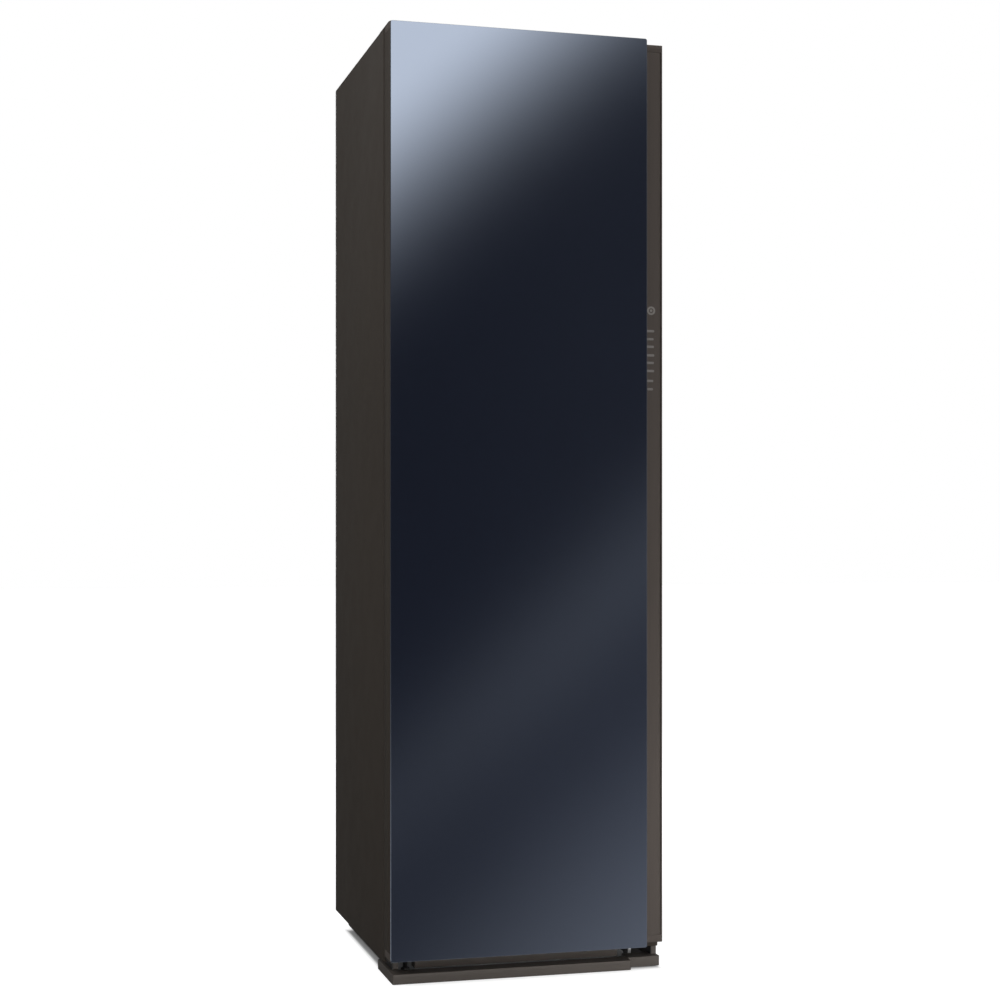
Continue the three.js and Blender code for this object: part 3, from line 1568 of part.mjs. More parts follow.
// Chamber
place(cabinet, "chamber_liner", "chamber", chamberLiner());
place(cabinet, "insulation_jacket", "foam", insulationJacket());
place(cabinet, "rear_duct", "dark", rearDuct());
place(cabinet, "ceiling_duct", "dark", ceilingDuct());
place(cabinet, "air_rail", "hanger", airRail());
place(cabinet, "light_bar", "hanger", lightBar());
place(cabinet, "shelf", "hanger", shelf());
place(cabinet, "filter_housing", "dark", filterHousing());
place(cabinet, "floor_grille", "dark", floorGrille());
place(cabinet, "lint_filter", "hanger", lintFilter());
place(cabinet, "steam_outlet", "dark", steamOutlet());
const hangerBody = airHanger();
hangerPlaces.forEach((x, i) => {
  place(cabinet, `air_hanger_${i + 1}`, "hanger", hangerBody).position.set(x, chamberMiddle, railLevel);
});

// Tanks
place(cabinet, "tank_bay", "chamber", tankBay());
place(cabinet, "supply_tank", "water", waterTank(-1));
place(cabinet, "supply_tank_lid", "dark", tankLid(-1));
place(cabinet, "drain_tank", "water", waterTank(1));
place(cabinet, "drain_tank_lid", "dark", tankLid(1));

// Machine room
const floorStand = panTop + fit;
place(cabinet, "compressor", "black", join(compressor(), dischargePipe()));
place(cabinet, "steam_generator", "zinc", steamGenerator()).position.set(boilerX, boilerY, floorStand);
place(cabinet, "water_pump", "dark", waterPump()).position.set(left + pumpLeft, boilerY, floorStand);
place(cabinet, "control_box", "dark", controlBox());
place(cabinet, "air_tunnel", "foam", airTunnel());
place(cabinet, "evaporator", "zinc", coil(evaporatorStart));
place(cabinet, "condenser", "copper", coil(condenserStart));
place(cabinet, "blower_housing", "dark", blowerHousing());
const wheelY = ductBack - blowerWall - fit - motorLength;
place(cabinet, "blower_wheel", "dark", blowerWheel()).position.set(wheelX, wheelY, wheelZ);
place(cabinet, "steam_hose", "seal", steamHose());

export default cabinet;
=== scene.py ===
"""Clothes care steam cabinet: finished pieces and materials round the fixed CAD frame.

Lengths are in metres, +Z is up and the door faces -Y. Every new surface is worked out with numpy as a grid of
points, and rides on the body of the frame that carries it.
"""

import json
import math

import bmesh
import bpy
import numpy as np
from bpy.props import FloatProperty, FloatVectorProperty, PointerProperty
from mathutils import Matrix, Vector


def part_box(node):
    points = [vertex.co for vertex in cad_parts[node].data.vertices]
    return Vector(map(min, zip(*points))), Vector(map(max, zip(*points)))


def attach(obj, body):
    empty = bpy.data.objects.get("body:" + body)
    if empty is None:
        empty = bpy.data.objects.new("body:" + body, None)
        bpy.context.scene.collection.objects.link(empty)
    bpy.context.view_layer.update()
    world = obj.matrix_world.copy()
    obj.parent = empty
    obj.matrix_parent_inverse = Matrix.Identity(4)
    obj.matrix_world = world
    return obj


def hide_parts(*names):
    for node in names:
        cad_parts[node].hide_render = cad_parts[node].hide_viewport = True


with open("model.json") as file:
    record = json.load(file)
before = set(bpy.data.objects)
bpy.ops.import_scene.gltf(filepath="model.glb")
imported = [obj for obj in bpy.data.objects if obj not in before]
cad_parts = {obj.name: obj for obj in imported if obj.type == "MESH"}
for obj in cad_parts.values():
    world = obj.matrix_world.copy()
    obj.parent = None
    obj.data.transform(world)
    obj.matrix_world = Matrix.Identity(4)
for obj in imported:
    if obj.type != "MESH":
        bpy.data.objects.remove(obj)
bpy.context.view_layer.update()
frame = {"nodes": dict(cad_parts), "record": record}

bl_info = {
    "name": "Clothes Care Cabinet",
    "version": (1, 0, 0),
    "blender": (4, 5, 0),
    "location": "3D View > Sidebar > Cabinet",
    "description": "Builds the finished pieces of a clothes care steam cabinet",
    "category": "Add Mesh",
}

BODY_OF = {node: body for body, nodes in frame["record"]["behaviour"]["bodies"].items() for node in nodes}
SLOT_OF = {part["node"]: part["material_slot"] for part in frame["record"]["subparts"]}
TAU = 2 * math.pi

# Sizes of the source that no box shows
RAIL_RADIUS = 0.012
HANGER_PITCH = 0.095
HANGER_REACH = 0.205
TANK_GRIP = 0.012
PLINTH_TOP = 0.022
# Face of the dark sheets of painted shade under the sides of the base
SHADE_SKIRT_FACE = 0.268
STRIP_FACE = 0.0397
TUBE_TURN = 0.016
DOME_TOP = 0.2475
PLATE_FRONT = 0.085

# Camera of the photograph
LENS = 67.34
CAMERA_PLACE = (-1.0655, -4.0001, 0.9065)
CAMERA_HEADING = -0.2639
CAMERA_RISE = 0.0384

# Lamps: name, place, size, power. A lamp below LOW_AIM looks that far to the right of the middle.
LOW_AIM = 0.2
LAMPS = (
    ("lamp_left", (-3.2, -1.0, 3.6), 2.4, 78),
    ("lamp_right", (2.1, -2.2, 0.25), 1.6, 24),
    ("lamp_low", (0.45, -1.0, 0.12), 0.6, 4.2),
    ("lamp_back", (0.6, 3.6, 2.8), 2.6, 42),
    ("lamp_top", (0.0, -0.4, 4.6), 2.4, 40),
)


def linear(red, green, blue):
    """Scene-linear colour of a display colour given in steps of 255."""
    shares = np.array([red, green, blue]) / 255
    low = shares / 12.92
    high = ((shares + 0.055) / 1.055) ** 2.4
    return tuple(float(v) for v in np.where(shares <= 0.04045, low, high))


def length(name, description, default, low, high):
    """Property of a length in metres."""
    return FloatProperty(
        name=name, description=description, default=default, min=low, max=high, unit="LENGTH",
    )


def paint(name, description, *tone):
    """Property of a colour, its default given in steps of 255."""
    return FloatVectorProperty(
        name=name, description=description, subtype="COLOR", size=3, default=linear(*tone), min=0, max=1,
    )


class CabinetSizes(bpy.types.PropertyGroup):
    """Sizes that a user would change."""

    edge_round: length("Edge round", "Radius on the edges of moulded pieces", 0.0007, 0.0001, 0.003)
    glass_bevel: length("Glass bevel", "Width of the door glass's ground edge", 0.0005, 0.0002, 0.0018)
    groove_width: length("Groove width", "Width of the groove beside the strip's edge", 0.0034, 0.0005, 0.004)
    mark_height: length("Mark height", "Height of a short mark on the strip", 0.0050, 0.002, 0.008)
    mark_relief: length("Mark relief", "How far a mark stands out of the strip", 0.0002, 0.0001, 0.001)
    hanger_wall: length("Hanger wall", "Thickness of the hook's strap", 0.004, 0.002, 0.006)


class CabinetColours(bpy.types.PropertyGroup):
    """Colours that a user would change."""

    shell: paint("Shell", "Satin paint of the side and top panels", 51, 46, 41)
    glass: paint("Glass", "Body colour of the dark mirrored door glass", 23, 27, 39)
    strip: paint("Strip", "Satin metal of the control strip and the door's edges", 70, 64, 60)
    plinth: paint("Plinth", "Metal of the plinth and the kick panel", 72, 67, 63)
    chamber: paint("Chamber", "Moulded plastic inside the cabinet", 142, 144, 147)
    hanger: paint("Hangers", "Plastic of the hangers, rail, shelf and filter", 192, 193, 195)


def sizes():
    return bpy.context.scene.cabinet_sizes


def colours():
    return bpy.context.scene.cabinet_colours


# Meshes


def circle(sides):
    """Angles of one whole turn in equal steps."""
    return np.arange(sides) / sides * TAU


def quarter(count):
    """That many angles from 0 to a quarter turn."""
    return np.linspace(0, math.pi / 2, count)


def smooth_step(value):
    """Smooth step from 0 to 1: three squares less two cubes."""
    value = np.clip(value, 0, 1)
    return value * value * (3 - 2 * value)


def add_object(name, data):
    piece = bpy.data.objects.new(name, data)
    bpy.context.scene.collection.objects.link(piece)
    return piece


def grid_mesh(name, points, wrap_rows=False, wrap_columns=True, caps=True, smooth=True):
    """Mesh of a grid of points, rows by columns by 3.

    Point (i, j) is joined to (i + 1, j) and (i, j + 1), round the end where that way wraps. The first and
    last row are closed by one face each when caps is set.
    """
    rows, columns = points.shape[:2]
    i = np.arange(rows if wrap_rows else rows - 1)[:, None]
    j = np.arange(columns if wrap_columns else columns - 1)[None, :]
    a = i * columns + j
    b = i * columns + (j + 1) % columns
    c = ((i + 1) % rows) * columns + (j + 1) % columns
    d = ((i + 1) % rows) * columns + j
    faces = np.stack([a, b, c, d], axis=-1).reshape(-1, 4).tolist()
    if caps and wrap_columns and not wrap_rows:
        faces.append(list(range(columns))[::-1])
        faces.append(list(range((rows - 1) * columns, rows * columns)))
    mesh = bpy.data.meshes.new(name)
    mesh.from_pydata(points.reshape(-1, 3).tolist(), [], faces)
    tidy_faces(mesh)
    if smooth:
        mesh.shade_smooth()
    return mesh


def tidy_faces(mesh):
    """Merges points that coincide and turns the faces of a closed form outwards."""
    work = bmesh.new()
    work.from_mesh(mesh)
    bmesh.ops.remove_doubles(work, verts=work.verts, dist=1e-7)
    bmesh.ops.recalc_face_normals(work, faces=work.faces)
    work.to_mesh(mesh)
    work.free()


def joined(name, meshes):
    """One mesh out of several."""
    work = bmesh.new()
    for mesh in meshes:
        work.from_mesh(mesh)
        bpy.data.meshes.remove(mesh)
    whole = bpy.data.meshes.new(name)
    work.to_mesh(whole)
    work.free()
    return whole


AXES = {"X": (1, 2, 0), "Y": (2, 0, 1), "Z": (0, 1, 2)}


def placed(u, v, along, axis):
    """Points whose first two coordinates lie across an axis and whose third lies along it.

    For X the three are y, z, x; for Y they are z, x, y; for Z they are x, y, z.
    """
    stack = np.stack(np.broadcast_arrays(u, v, along), axis=-1).astype(float)
    points = np.empty_like(stack)
    points[..., list(AXES[axis])] = stack
    return points


def ovals(half_u, half_v, along, turn, axis="Z"):
    """Rows of points on ellipses: the half widths times the cosine and the sine of the turn."""
    return placed(half_u * np.cos(turn), half_v * np.sin(turn), along, axis)


def rounded_ring(half_u, half_v, radius, steps=6):
    """Corners of a rectangle, each a quarter circle of that radius in equal angles, anticlockwise from +u."""
    radius = min(radius, half_u, half_v)
    turn = quarter(steps + 1)
    signs = np.array([[1, 1], [-1, 1], [-1, -1], [1, -1]])
    starts = np.arange(4) * math.pi / 2
    centre = signs * np.array([half_u - radius, half_v - radius])
    angle = starts[:, None] + turn[None, :]
    ring = centre[:, None, :] + radius * np.stack([np.cos(angle), np.sin(angle)], axis=-1)
    return ring.reshape(-1, 2)


def slab(name, low, high, axis, radius, bevel, steps=6):
    """Rounded plate between two corners, its faces across the axis.

    Each ring is the rounded rectangle drawn in by bevel times one less the cosine of its angle, at a height
    that follows the sine, so that both rims are quarter rounds. One more ring inside each rim keeps the face
    level.
    """
    low, high = np.array(low, float), np.array(high, float)
    a, b, c = AXES[axis]
    half = (high - low) / 2
    middle = (high + low) / 2
    turn = quarter(3)
    rim = bevel * (1 - np.sin(turn))
    lift = bevel * (1 - np.cos(turn))
    level = min(bevel + 0.001, (half[a] + bevel) / 2, (half[b] + bevel) / 2)
    inset = np.concatenate([[level], rim, rim[::-1], [level]])
    rise = np.concatenate([[low[c]], low[c] + lift, high[c] - lift[::-1], [high[c]]])
    ring = [rounded_ring(half[a] - s, half[b] - s, max(radius - s, 1e-5), steps) for s in inset]
    ring = np.array(ring) + np.array([middle[a], middle[b]])
    return grid_mesh(name, placed(ring[..., 0], ring[..., 1], rise[:, None], axis), smooth=False)


def turned(name, profile, centre, axis="Z", sides=48):
    """Profile of (radius, height) turned once about the axis through centre."""
    radius, level = np.array(profile, float).T[..., None]
    points = ovals(radius, radius, level, circle(sides), axis) + np.array(centre)
    return grid_mesh(name, points, smooth=False)


def swept(name, path, radius, sides):
    """Round tube about a path.

    The frame at each point is carried on from the one before by the least turn, so the tube doesn't twist.
    """
    path = np.array(path, float)
    ahead = np.roll(path, -1, 0) - np.roll(path, 1, 0)
    ahead[0], ahead[-1] = path[1] - path[0], path[-1] - path[-2]
    ahead /= np.linalg.norm(ahead, axis=1)[:, None]
    side = np.cross(ahead[0], [0.31, 0.17, 0.93])
    side /= np.linalg.norm(side)
    across = []
    for way in ahead:
        side = side - way * side.dot(way)
        side = side / np.linalg.norm(side)
        across.append(side)
    across = np.array(across)
    over = np.cross(ahead, across)
    turn = circle(sides)
    radius = np.broadcast_to(radius, len(path))[:, None, None]
    ring = across[:, None] * np.cos(turn)[:, None] + over[:, None] * np.sin(turn)[:, None]
    return grid_mesh(name, path[:, None] + radius * ring)


def extruded(name, outline, low, high, axis="Z"):
    """Closed outline of (u, v) carried straight along the axis."""
    outline = np.array(outline, float)
    along = np.array([low, high])[:, None]
    return grid_mesh(name, placed(outline[:, 0], outline[:, 1], along, axis), smooth=False)


def strap_along(name, centres, normals, width_axis, half_thick, half_wide, radius):
    """Flat strap: a rounded rectangle carried along a path, thin along the normal at each point."""
    ring = rounded_ring(half_thick, half_wide, radius, 4)
    centres, normals = np.array(centres, float), np.array(normals, float)
    across = np.array(width_axis) * ring[None, :, 1:]
    return grid_mesh(name, centres[:, None] + normals[:, None] * ring[None, :, :1] + across)


def depth_inside(u, v, centre, half, radius):
    """How far each place of a grid lies inside the border of a rounded rectangle, below 0 outside it."""
    beyond = [np.abs(w - c) - (h - radius) for w, c, h in zip((u[None, :], v[:, None]), centre, half)]
    corner = np.hypot(np.maximum(beyond[0], 0), np.maximum(beyond[1], 0))
    return radius - corner - np.minimum(np.maximum(beyond[0], beyond[1]), 0)


def border_ring(name, low, high, profile, smooth=True):
    """Ring round an upright rectangle: each corner is the profile of (distance in, y) set at 45 degrees."""
    inset, y = np.array(profile, float).T
    (left, _, foot), (right, _, top) = low, high
    corners = ((left, foot, 1, 1), (right, foot, -1, 1), (right, top, -1, -1), (left, top, 1, -1))
    rows = [np.stack([x + sx * inset, y, z + sz * inset], -1) for x, z, sx, sz in corners]
    return grid_mesh(name, np.array(rows), wrap_rows=True, smooth=smooth)


def relief_plate(name, across, levels, height, base, axis, side, depth=0.0003):
    """Upright plate whose face stands out of a wall by a height at every place across it and every level.

    Each level is a ring: the face from the first place to the last, and the back, sunk by the depth, the
    other way.
    """
    def ring(order, along):
        pair = (across[None, ::order], levels[:, None])
        return placed(*(pair if axis == "X" else pair[::-1]), along, axis)

    face = ring(1, base + side * height)
    back = ring(-1, base - side * depth)
    return grid_mesh(name, np.concatenate([face, back], axis=1), smooth=False)


def fluted(u, v, pitch, depth, end):
    """Flutes along v: a raised cosine across u, faded to nothing over the length end at every border."""
    wave = depth * (0.5 - 0.5 * np.cos(TAU * (u - u[0]) / pitch))[None, :] ** 0.7
    reach = np.minimum(v - v[0], v[-1] - v)[:, None] / end
    return wave * smooth_step(reach)


def woven(name, low, high, y, pitch, half):
    """Square wires of a flat weave in the X-Z plane: straight runs both ways, each a box of eight points."""
    runs = []
    for across, along in ((0, 2), (2, 0)):
        count = max(2, round((high[across] - low[across]) / pitch))
        for place in np.linspace(low[across] + pitch / 2, high[across] - pitch / 2, count):
            first, last = np.array([0.0, y, 0.0]), np.array([0.0, y, 0.0])
            first[across] = last[across] = place
            first[along], last[along] = low[along], high[along]
            runs.append((first, last, across))
    corner = np.array([[-half, -half], [half, -half], [half, half], [-half, half]])
    meshes = []
    for first, last, across in runs:
        ring = np.zeros((4, 3))
        ring[:, across], ring[:, 1] = corner[:, 0], corner[:, 1]
        meshes.append(grid_mesh("wire", np.array([first + ring, last + ring]), smooth=False))
    return joined(name, meshes)


def screw_head(name, centre, axis, side):
    """Round screw head: a dome that falls with the square of the radius, less a cross cut into its middle."""
    radius, height, sides, sunk = 0.004, 0.0014, 32, 0.0003
    arm_reach, arm_half, slot_share = 0.58, 0.16, 0.6
    share = np.linspace(1, 0.04, 12)[:, None]
    turn = circle(sides)
    u = radius * share * np.cos(turn)
    v = radius * share * np.sin(turn)
    arm = np.maximum(np.abs(u), np.abs(v)) < radius * arm_reach
    slot = np.minimum(np.abs(u), np.abs(v)) < radius * arm_half
    rise = height * (1 - 0.5 * share ** 2) - slot_share * height * (arm & slot)
    rim = np.full((1, sides), -sunk)
    u, v = np.vstack([u[:1], u]), np.vstack([v[:1], v])
    return grid_mesh(name, placed(u, v, side * np.vstack([rim, rise]), axis) + np.array(centre), smooth=False)


def finish_piece(name, mesh, finish, body, node=None, bevel=0.0, segments=2, angle=30):
    """Puts a mesh on a body with its finish and soft edges, and hides the node that it stands for."""
    mesh.name = name
    piece = add_object(name, mesh)
    mesh.materials.clear()
    mesh.materials.append(MADE[finish])
    if bevel:
        soften(piece, bevel, segments, angle)
    else:
        mesh.shade_smooth()
        mesh.set_sharp_from_angle(angle=math.radians(angle))
    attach(piece, body)
    nodes = [node] if isinstance(node, str) else list(node or [])
    if nodes:
        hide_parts(*nodes)
    return piece


def soften(piece, width, segments=2, angle=30):
    """Rounds the sharp edges and shades the flats evenly."""
    piece.data.shade_smooth()
    edge = piece.modifiers.new("Soft edges", "BEVEL")
    edge.width = width
    edge.segments = segments
    edge.limit_method = "ANGLE"
    edge.angle_limit = math.radians(angle)
    edge.harden_normals = True
    edge.use_clamp_overlap = True


def dressed(node, finish, bevel=None, segments=2):
    """Welded copy of a CAD piece with level faces made one and soft edges, which stands for it."""
    mesh = frame["nodes"][node].data.copy()
    work = bmesh.new()
    work.from_mesh(mesh)
    bmesh.ops.remove_doubles(work, verts=work.verts, dist=2e-6)
    bmesh.ops.dissolve_limit(work, angle_limit=math.radians(0.5), verts=work.verts, edges=work.edges)
    work.to_mesh(mesh)
    work.free()
    width = sizes().edge_round if bevel is None else bevel
    return finish_piece(node + "_finish", mesh, finish, BODY_OF[node], node, width, segments)


def box_of(node):
    """Lowest and highest corner of a CAD piece as arrays."""
    low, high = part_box(node)
    return np.array(low), np.array(high)


def rail_line():
    """Place in y and z of the middle line of the air rail."""
    low, high = box_of("air_rail")
    return (low[1] + high[1]) / 2, low[2] + RAIL_RADIUS


def hanger_places():
    """Place in x of each hanger."""
    return HANGER_PITCH * (np.arange(5) - 2)


# Materials


class NodeKit:
    """Short calls that add nodes to a tree. A value is a number or the output of another node."""

    def __init__(self, tree):
        self.tree = tree

    def node(self, kind, **settings):
        made = self.tree.nodes.new(kind)
        for key, value in settings.items():
            setattr(made, key, value)
        return made

    def link(self, start, end):
        self.tree.links.new(start, end)

    def maths(self, operation, *values):
        made = self.node("ShaderNodeMath", operation=operation)
        for socket, value in zip(made.inputs, values):
            if isinstance(value, (int, float)):
                socket.default_value = value
            else:
                self.link(value, socket)
        return made.outputs[0]

    def total(self, first, *others):
        for other in others:
            first = self.maths("ADD", first, other)
        return first

    def product(self, first, *others):
        for other in others:
            first = self.maths("MULTIPLY", first, other)
        return first

    def decay(self, value, power, rate=1.0):
        """Exponential of minus the rate times a power of the value."""
        return self.maths("EXPONENT", self.product(self.maths("POWER", value, power), -rate))

    def span(self, value, low, high, start=0.3, end=0.7):
        """Smooth step of the value from low at the start to high at the end."""
        made = self.node("ShaderNodeMapRange", interpolation_type="SMOOTHSTEP")
        self.link(value, made.inputs["Value"])
        for key, number in zip(("From Min", "From Max", "To Min", "To Max"), (start, end, low, high)):
            made.inputs[key].default_value = number
        return made.outputs["Result"]

    def split(self, vector):
        made = self.node("ShaderNodeSeparateXYZ")
        self.link(vector, made.inputs[0])
        return made.outputs


class Recipe(NodeKit):
    """Material on one Principled shader, built up with patterns in object space."""

    def __init__(self, name, colour, roughness, **sockets):
        self.material = bpy.data.materials.new(name)
        self.material.use_nodes = True
        super().__init__(self.material.node_tree)
        self.shader = self.tree.nodes["Principled BSDF"]
        self.colour = tuple(colour)
        self.shader.inputs["Base Color"].default_value = (*self.colour, 1)
        self.shader.inputs["Roughness"].default_value = roughness
        for socket, value in sockets.items():
            self.shader.inputs[socket.replace("_", " ")].default_value = value
        self.place = self.node("ShaderNodeTexCoord").outputs["Object"]
        self.normal = None

    def stretched(self, stretch):
        mapping = self.node("ShaderNodeMapping")
        self.link(self.place, mapping.inputs["Vector"])
        mapping.inputs["Scale"].default_value = stretch
        return mapping.outputs["Vector"]

    def noise(self, scale, detail=3, stretch=None):
        made = self.node("ShaderNodeTexNoise")
        self.link(self.stretched(stretch) if stretch else self.place, made.inputs["Vector"])
        made.inputs["Scale"].default_value = scale
        made.inputs["Detail"].default_value = detail
        made.inputs["Roughness"].default_value = 0.55
        return made.outputs["Fac"]

    def cells(self, scale, output="Distance"):
        made = self.node("ShaderNodeTexVoronoi")
        self.link(self.place, made.inputs["Vector"])
        made.inputs["Scale"].default_value = scale
        return made.outputs[output]

    def shade(self, value, spread, start=0.3, end=0.7):
        """Base colour that varies by a share of itself with the value."""
        mix = self.node("ShaderNodeMix", data_type="RGBA")
        self.link(self.span(value, 0, 1, start, end), mix.inputs["Factor"])
        mix.inputs["A"].default_value = (*(c * (1 - spread) for c in self.colour), 1)
        mix.inputs["B"].default_value = (*(min(1, c * (1 + spread)) for c in self.colour), 1)
        self.link(mix.outputs["Result"], self.shader.inputs["Base Color"])
        return self

    def polish(self, value, low, high, start=0.3, end=0.7):
        """Roughness that varies between two values."""
        self.link(self.span(value, low, high, start, end), self.shader.inputs["Roughness"])
        return self

    def relief(self, value, distance, strength=1.0):
        """Bump in metres, added to what is there."""
        made = self.node("ShaderNodeBump")
        made.inputs["Distance"].default_value = distance
        made.inputs["Strength"].default_value = strength
        self.link(value, made.inputs["Height"])
        if self.normal:
            self.link(self.normal, made.inputs["Normal"])
        self.normal = made.outputs["Normal"]
        self.link(self.normal, self.shader.inputs["Normal"])
        return self


MADE = {}


def satin_paint(name, colour, roughness=0.48, specular=0.09):
    """Powder paint: broad cloudy tone, fine orange peel and a few duller patches."""
    recipe = Recipe(name, colour, roughness, Specular_IOR_Level=specular)
    recipe.shade(recipe.noise(2.2, 4), 0.025)
    recipe.polish(recipe.noise(14, 5), roughness - 0.02, roughness + 0.03)
    recipe.relief(recipe.noise(1400, 2), 0.00001, 0.25)
    return recipe.material


def brushed(name, colour, roughness=0.42, metallic=0.25, stretch=(900, 900, 9), specular=0.4):
    """Brushed metal: fine streaks along one axis in colour, roughness and relief."""
    recipe = Recipe(name, colour, roughness, Metallic=metallic, Specular_IOR_Level=specular)
    streaks = recipe.noise(1, 4, stretch)
    recipe.shade(streaks, 0.08)
    recipe.polish(streaks, roughness - 0.04, roughness + 0.08)
    recipe.relief(streaks, 0.00002, 0.3)
    return recipe.material


def moulded(name, colour, roughness=0.5, grain=1800, depth=0.00004, **sockets):
    """Moulded plastic: spark-eroded grain, faint flow marks and handling sheen."""
    recipe = Recipe(name, colour, roughness, **sockets)
    recipe.shade(recipe.noise(3.5, 3), 0.035)
    recipe.polish(recipe.noise(22, 4), roughness - 0.05, roughness + 0.06)
    recipe.relief(recipe.cells(grain), depth, 0.4)
    return recipe.material


def galvanised(name, colour):
    """Zinc coat: flat crystals of differing tone and gloss with a faint grain."""
    recipe = Recipe(name, colour, 0.38, Metallic=0.45, Specular_IOR_Level=0.5)
    separate = recipe.node("ShaderNodeSeparateColor")
    recipe.link(recipe.cells(150, "Color"), separate.inputs["Color"])
    recipe.shade(separate.outputs["Red"], 0.07, 0, 1)
    recipe.polish(separate.outputs["Green"], 0.32, 0.5, 0, 1)
    recipe.relief(recipe.noise(700, 3), 0.00002, 0.3)
    return recipe.material


def rubbery(name, colour):
    """Soft rubber: dusty cloud and a fine matt skin."""
    recipe = Recipe(name, colour, 0.62, Specular_IOR_Level=0.35)
    recipe.shade(recipe.noise(30, 5), 0.12)
    recipe.relief(recipe.noise(2200, 2), 0.00003, 0.5)
    return recipe.material


def foamed(name, colour):
    """Rigid foam: small cells and a warmer skin in patches."""
    recipe = Recipe(name, colour, 0.85, Specular_IOR_Level=0.2)
    recipe.shade(recipe.noise(9, 5), 0.06)
    recipe.relief(recipe.cells(420), 0.0004, 0.6)
    return recipe.material


def coppered(name, colour):
    """Copper tube: bright drawn metal with darker oxide clouds."""
    recipe = Recipe(name, colour, 0.3, Metallic=0.9)
    recipe.shade(recipe.noise(28, 6), 0.22)
    recipe.polish(recipe.noise(40, 5), 0.24, 0.46)
    return recipe.material


def mirror_glass(name, colour):
    """Dark coated glass: deep navy body under a clear bluish mirror face with the faintest dust."""
    recipe = Recipe(name, colour, 0.035, IOR=2.0, Specular_Tint=(0.72, 0.82, 1.0, 1))
    recipe.shade(recipe.noise(1.3, 2), 0.04)
    recipe.polish(recipe.noise(5, 6), 0.028, 0.045, 0.35, 0.65)
    return recipe.material


def clear_plastic(name, colour, alpha):
    """Smoky clear plastic of the tanks: see-through with slight flow lines."""
    recipe = Recipe(name, colour, 0.26, Alpha=alpha, IOR=1.49)
    recipe.shade(recipe.noise(6, 3, (1, 1, 0.3)), 0.05)
    recipe.polish(recipe.noise(60, 3), 0.22, 0.34)
    return recipe.material


def make_materials():
    """Every finish of the cabinet by name."""
    tone = colours()
    MADE.update(
        shell=satin_paint("satin_brown_paint", tone.shell),
        glass=mirror_glass("dark_mirror_glass", tone.glass),
        strip=brushed("brushed_strip", tone.strip, 0.5, 0.12, specular=0.12),
        plinth=brushed("plinth_metal", tone.plinth, 0.45, 0.15, (9, 900, 900), 0.2),
        chamber=moulded("chamber_plastic", tone.chamber, 0.46, Specular_IOR_Level=0.4),
        hanger=moulded("hanger_plastic", tone.hanger, 0.34, 2600, 0.00002),
        dark=moulded("dark_plastic", linear(34, 33, 33), 0.5),
        seal=rubbery("seal_rubber", linear(48, 48, 50)),
        zinc=galvanised("zinc_sheet", linear(168, 170, 172)),
        foam=foamed("rigid_foam", linear(226, 222, 205)),
        tank=clear_plastic("tank_plastic", linear(112, 128, 140), 0.56),
        lamp=moulded("lamp_diffuser", linear(236, 236, 230), 0.4, 3000, 0.00001, Subsurface_Weight=0.1),
        circuit=moulded("circuit_board", linear(24, 84, 48), 0.4, 900, 0.00006),
        coil=brushed("coil_aluminium", linear(190, 193, 196), 0.36, 0.6, (9, 900, 900)),
        copper=coppered("copper_tube", linear(196, 118, 78)),
        black=satin_paint("black_steel", linear(30, 30, 31), 0.4, 0.4),
        mark=moulded("printed_mark", linear(98, 94, 91), 0.4, 2600, 0.00001),
        sign=moulded("printed_sign", linear(112, 108, 104), 0.4, 2600, 0.00001),
        steel=brushed("screw_steel", linear(176, 177, 178), 0.3, 0.7, (300, 300, 300)),
    )


SLOT_FINISH = {
    "shell_brown": "shell", "door_glass": "glass", "strip_metal": "strip", "base_metal": "plinth",
    "zinc": "zinc", "dark_plastic": "dark", "chamber_plastic": "chamber", "hanger_plastic": "hanger",
    "tank_plastic": "tank", "lamp_cover": "lamp", "seal": "seal", "foam": "foam", "circuit": "circuit",
    "coil_aluminium": "coil", "copper": "copper", "black_steel": "black",
}


# Operators


class BuildStep(bpy.types.Operator):
    """Base of the building steps."""

    bl_options = {"REGISTER", "UNDO"}

    def execute(self, context):
        self.build(context)
        return {"FINISHED"}


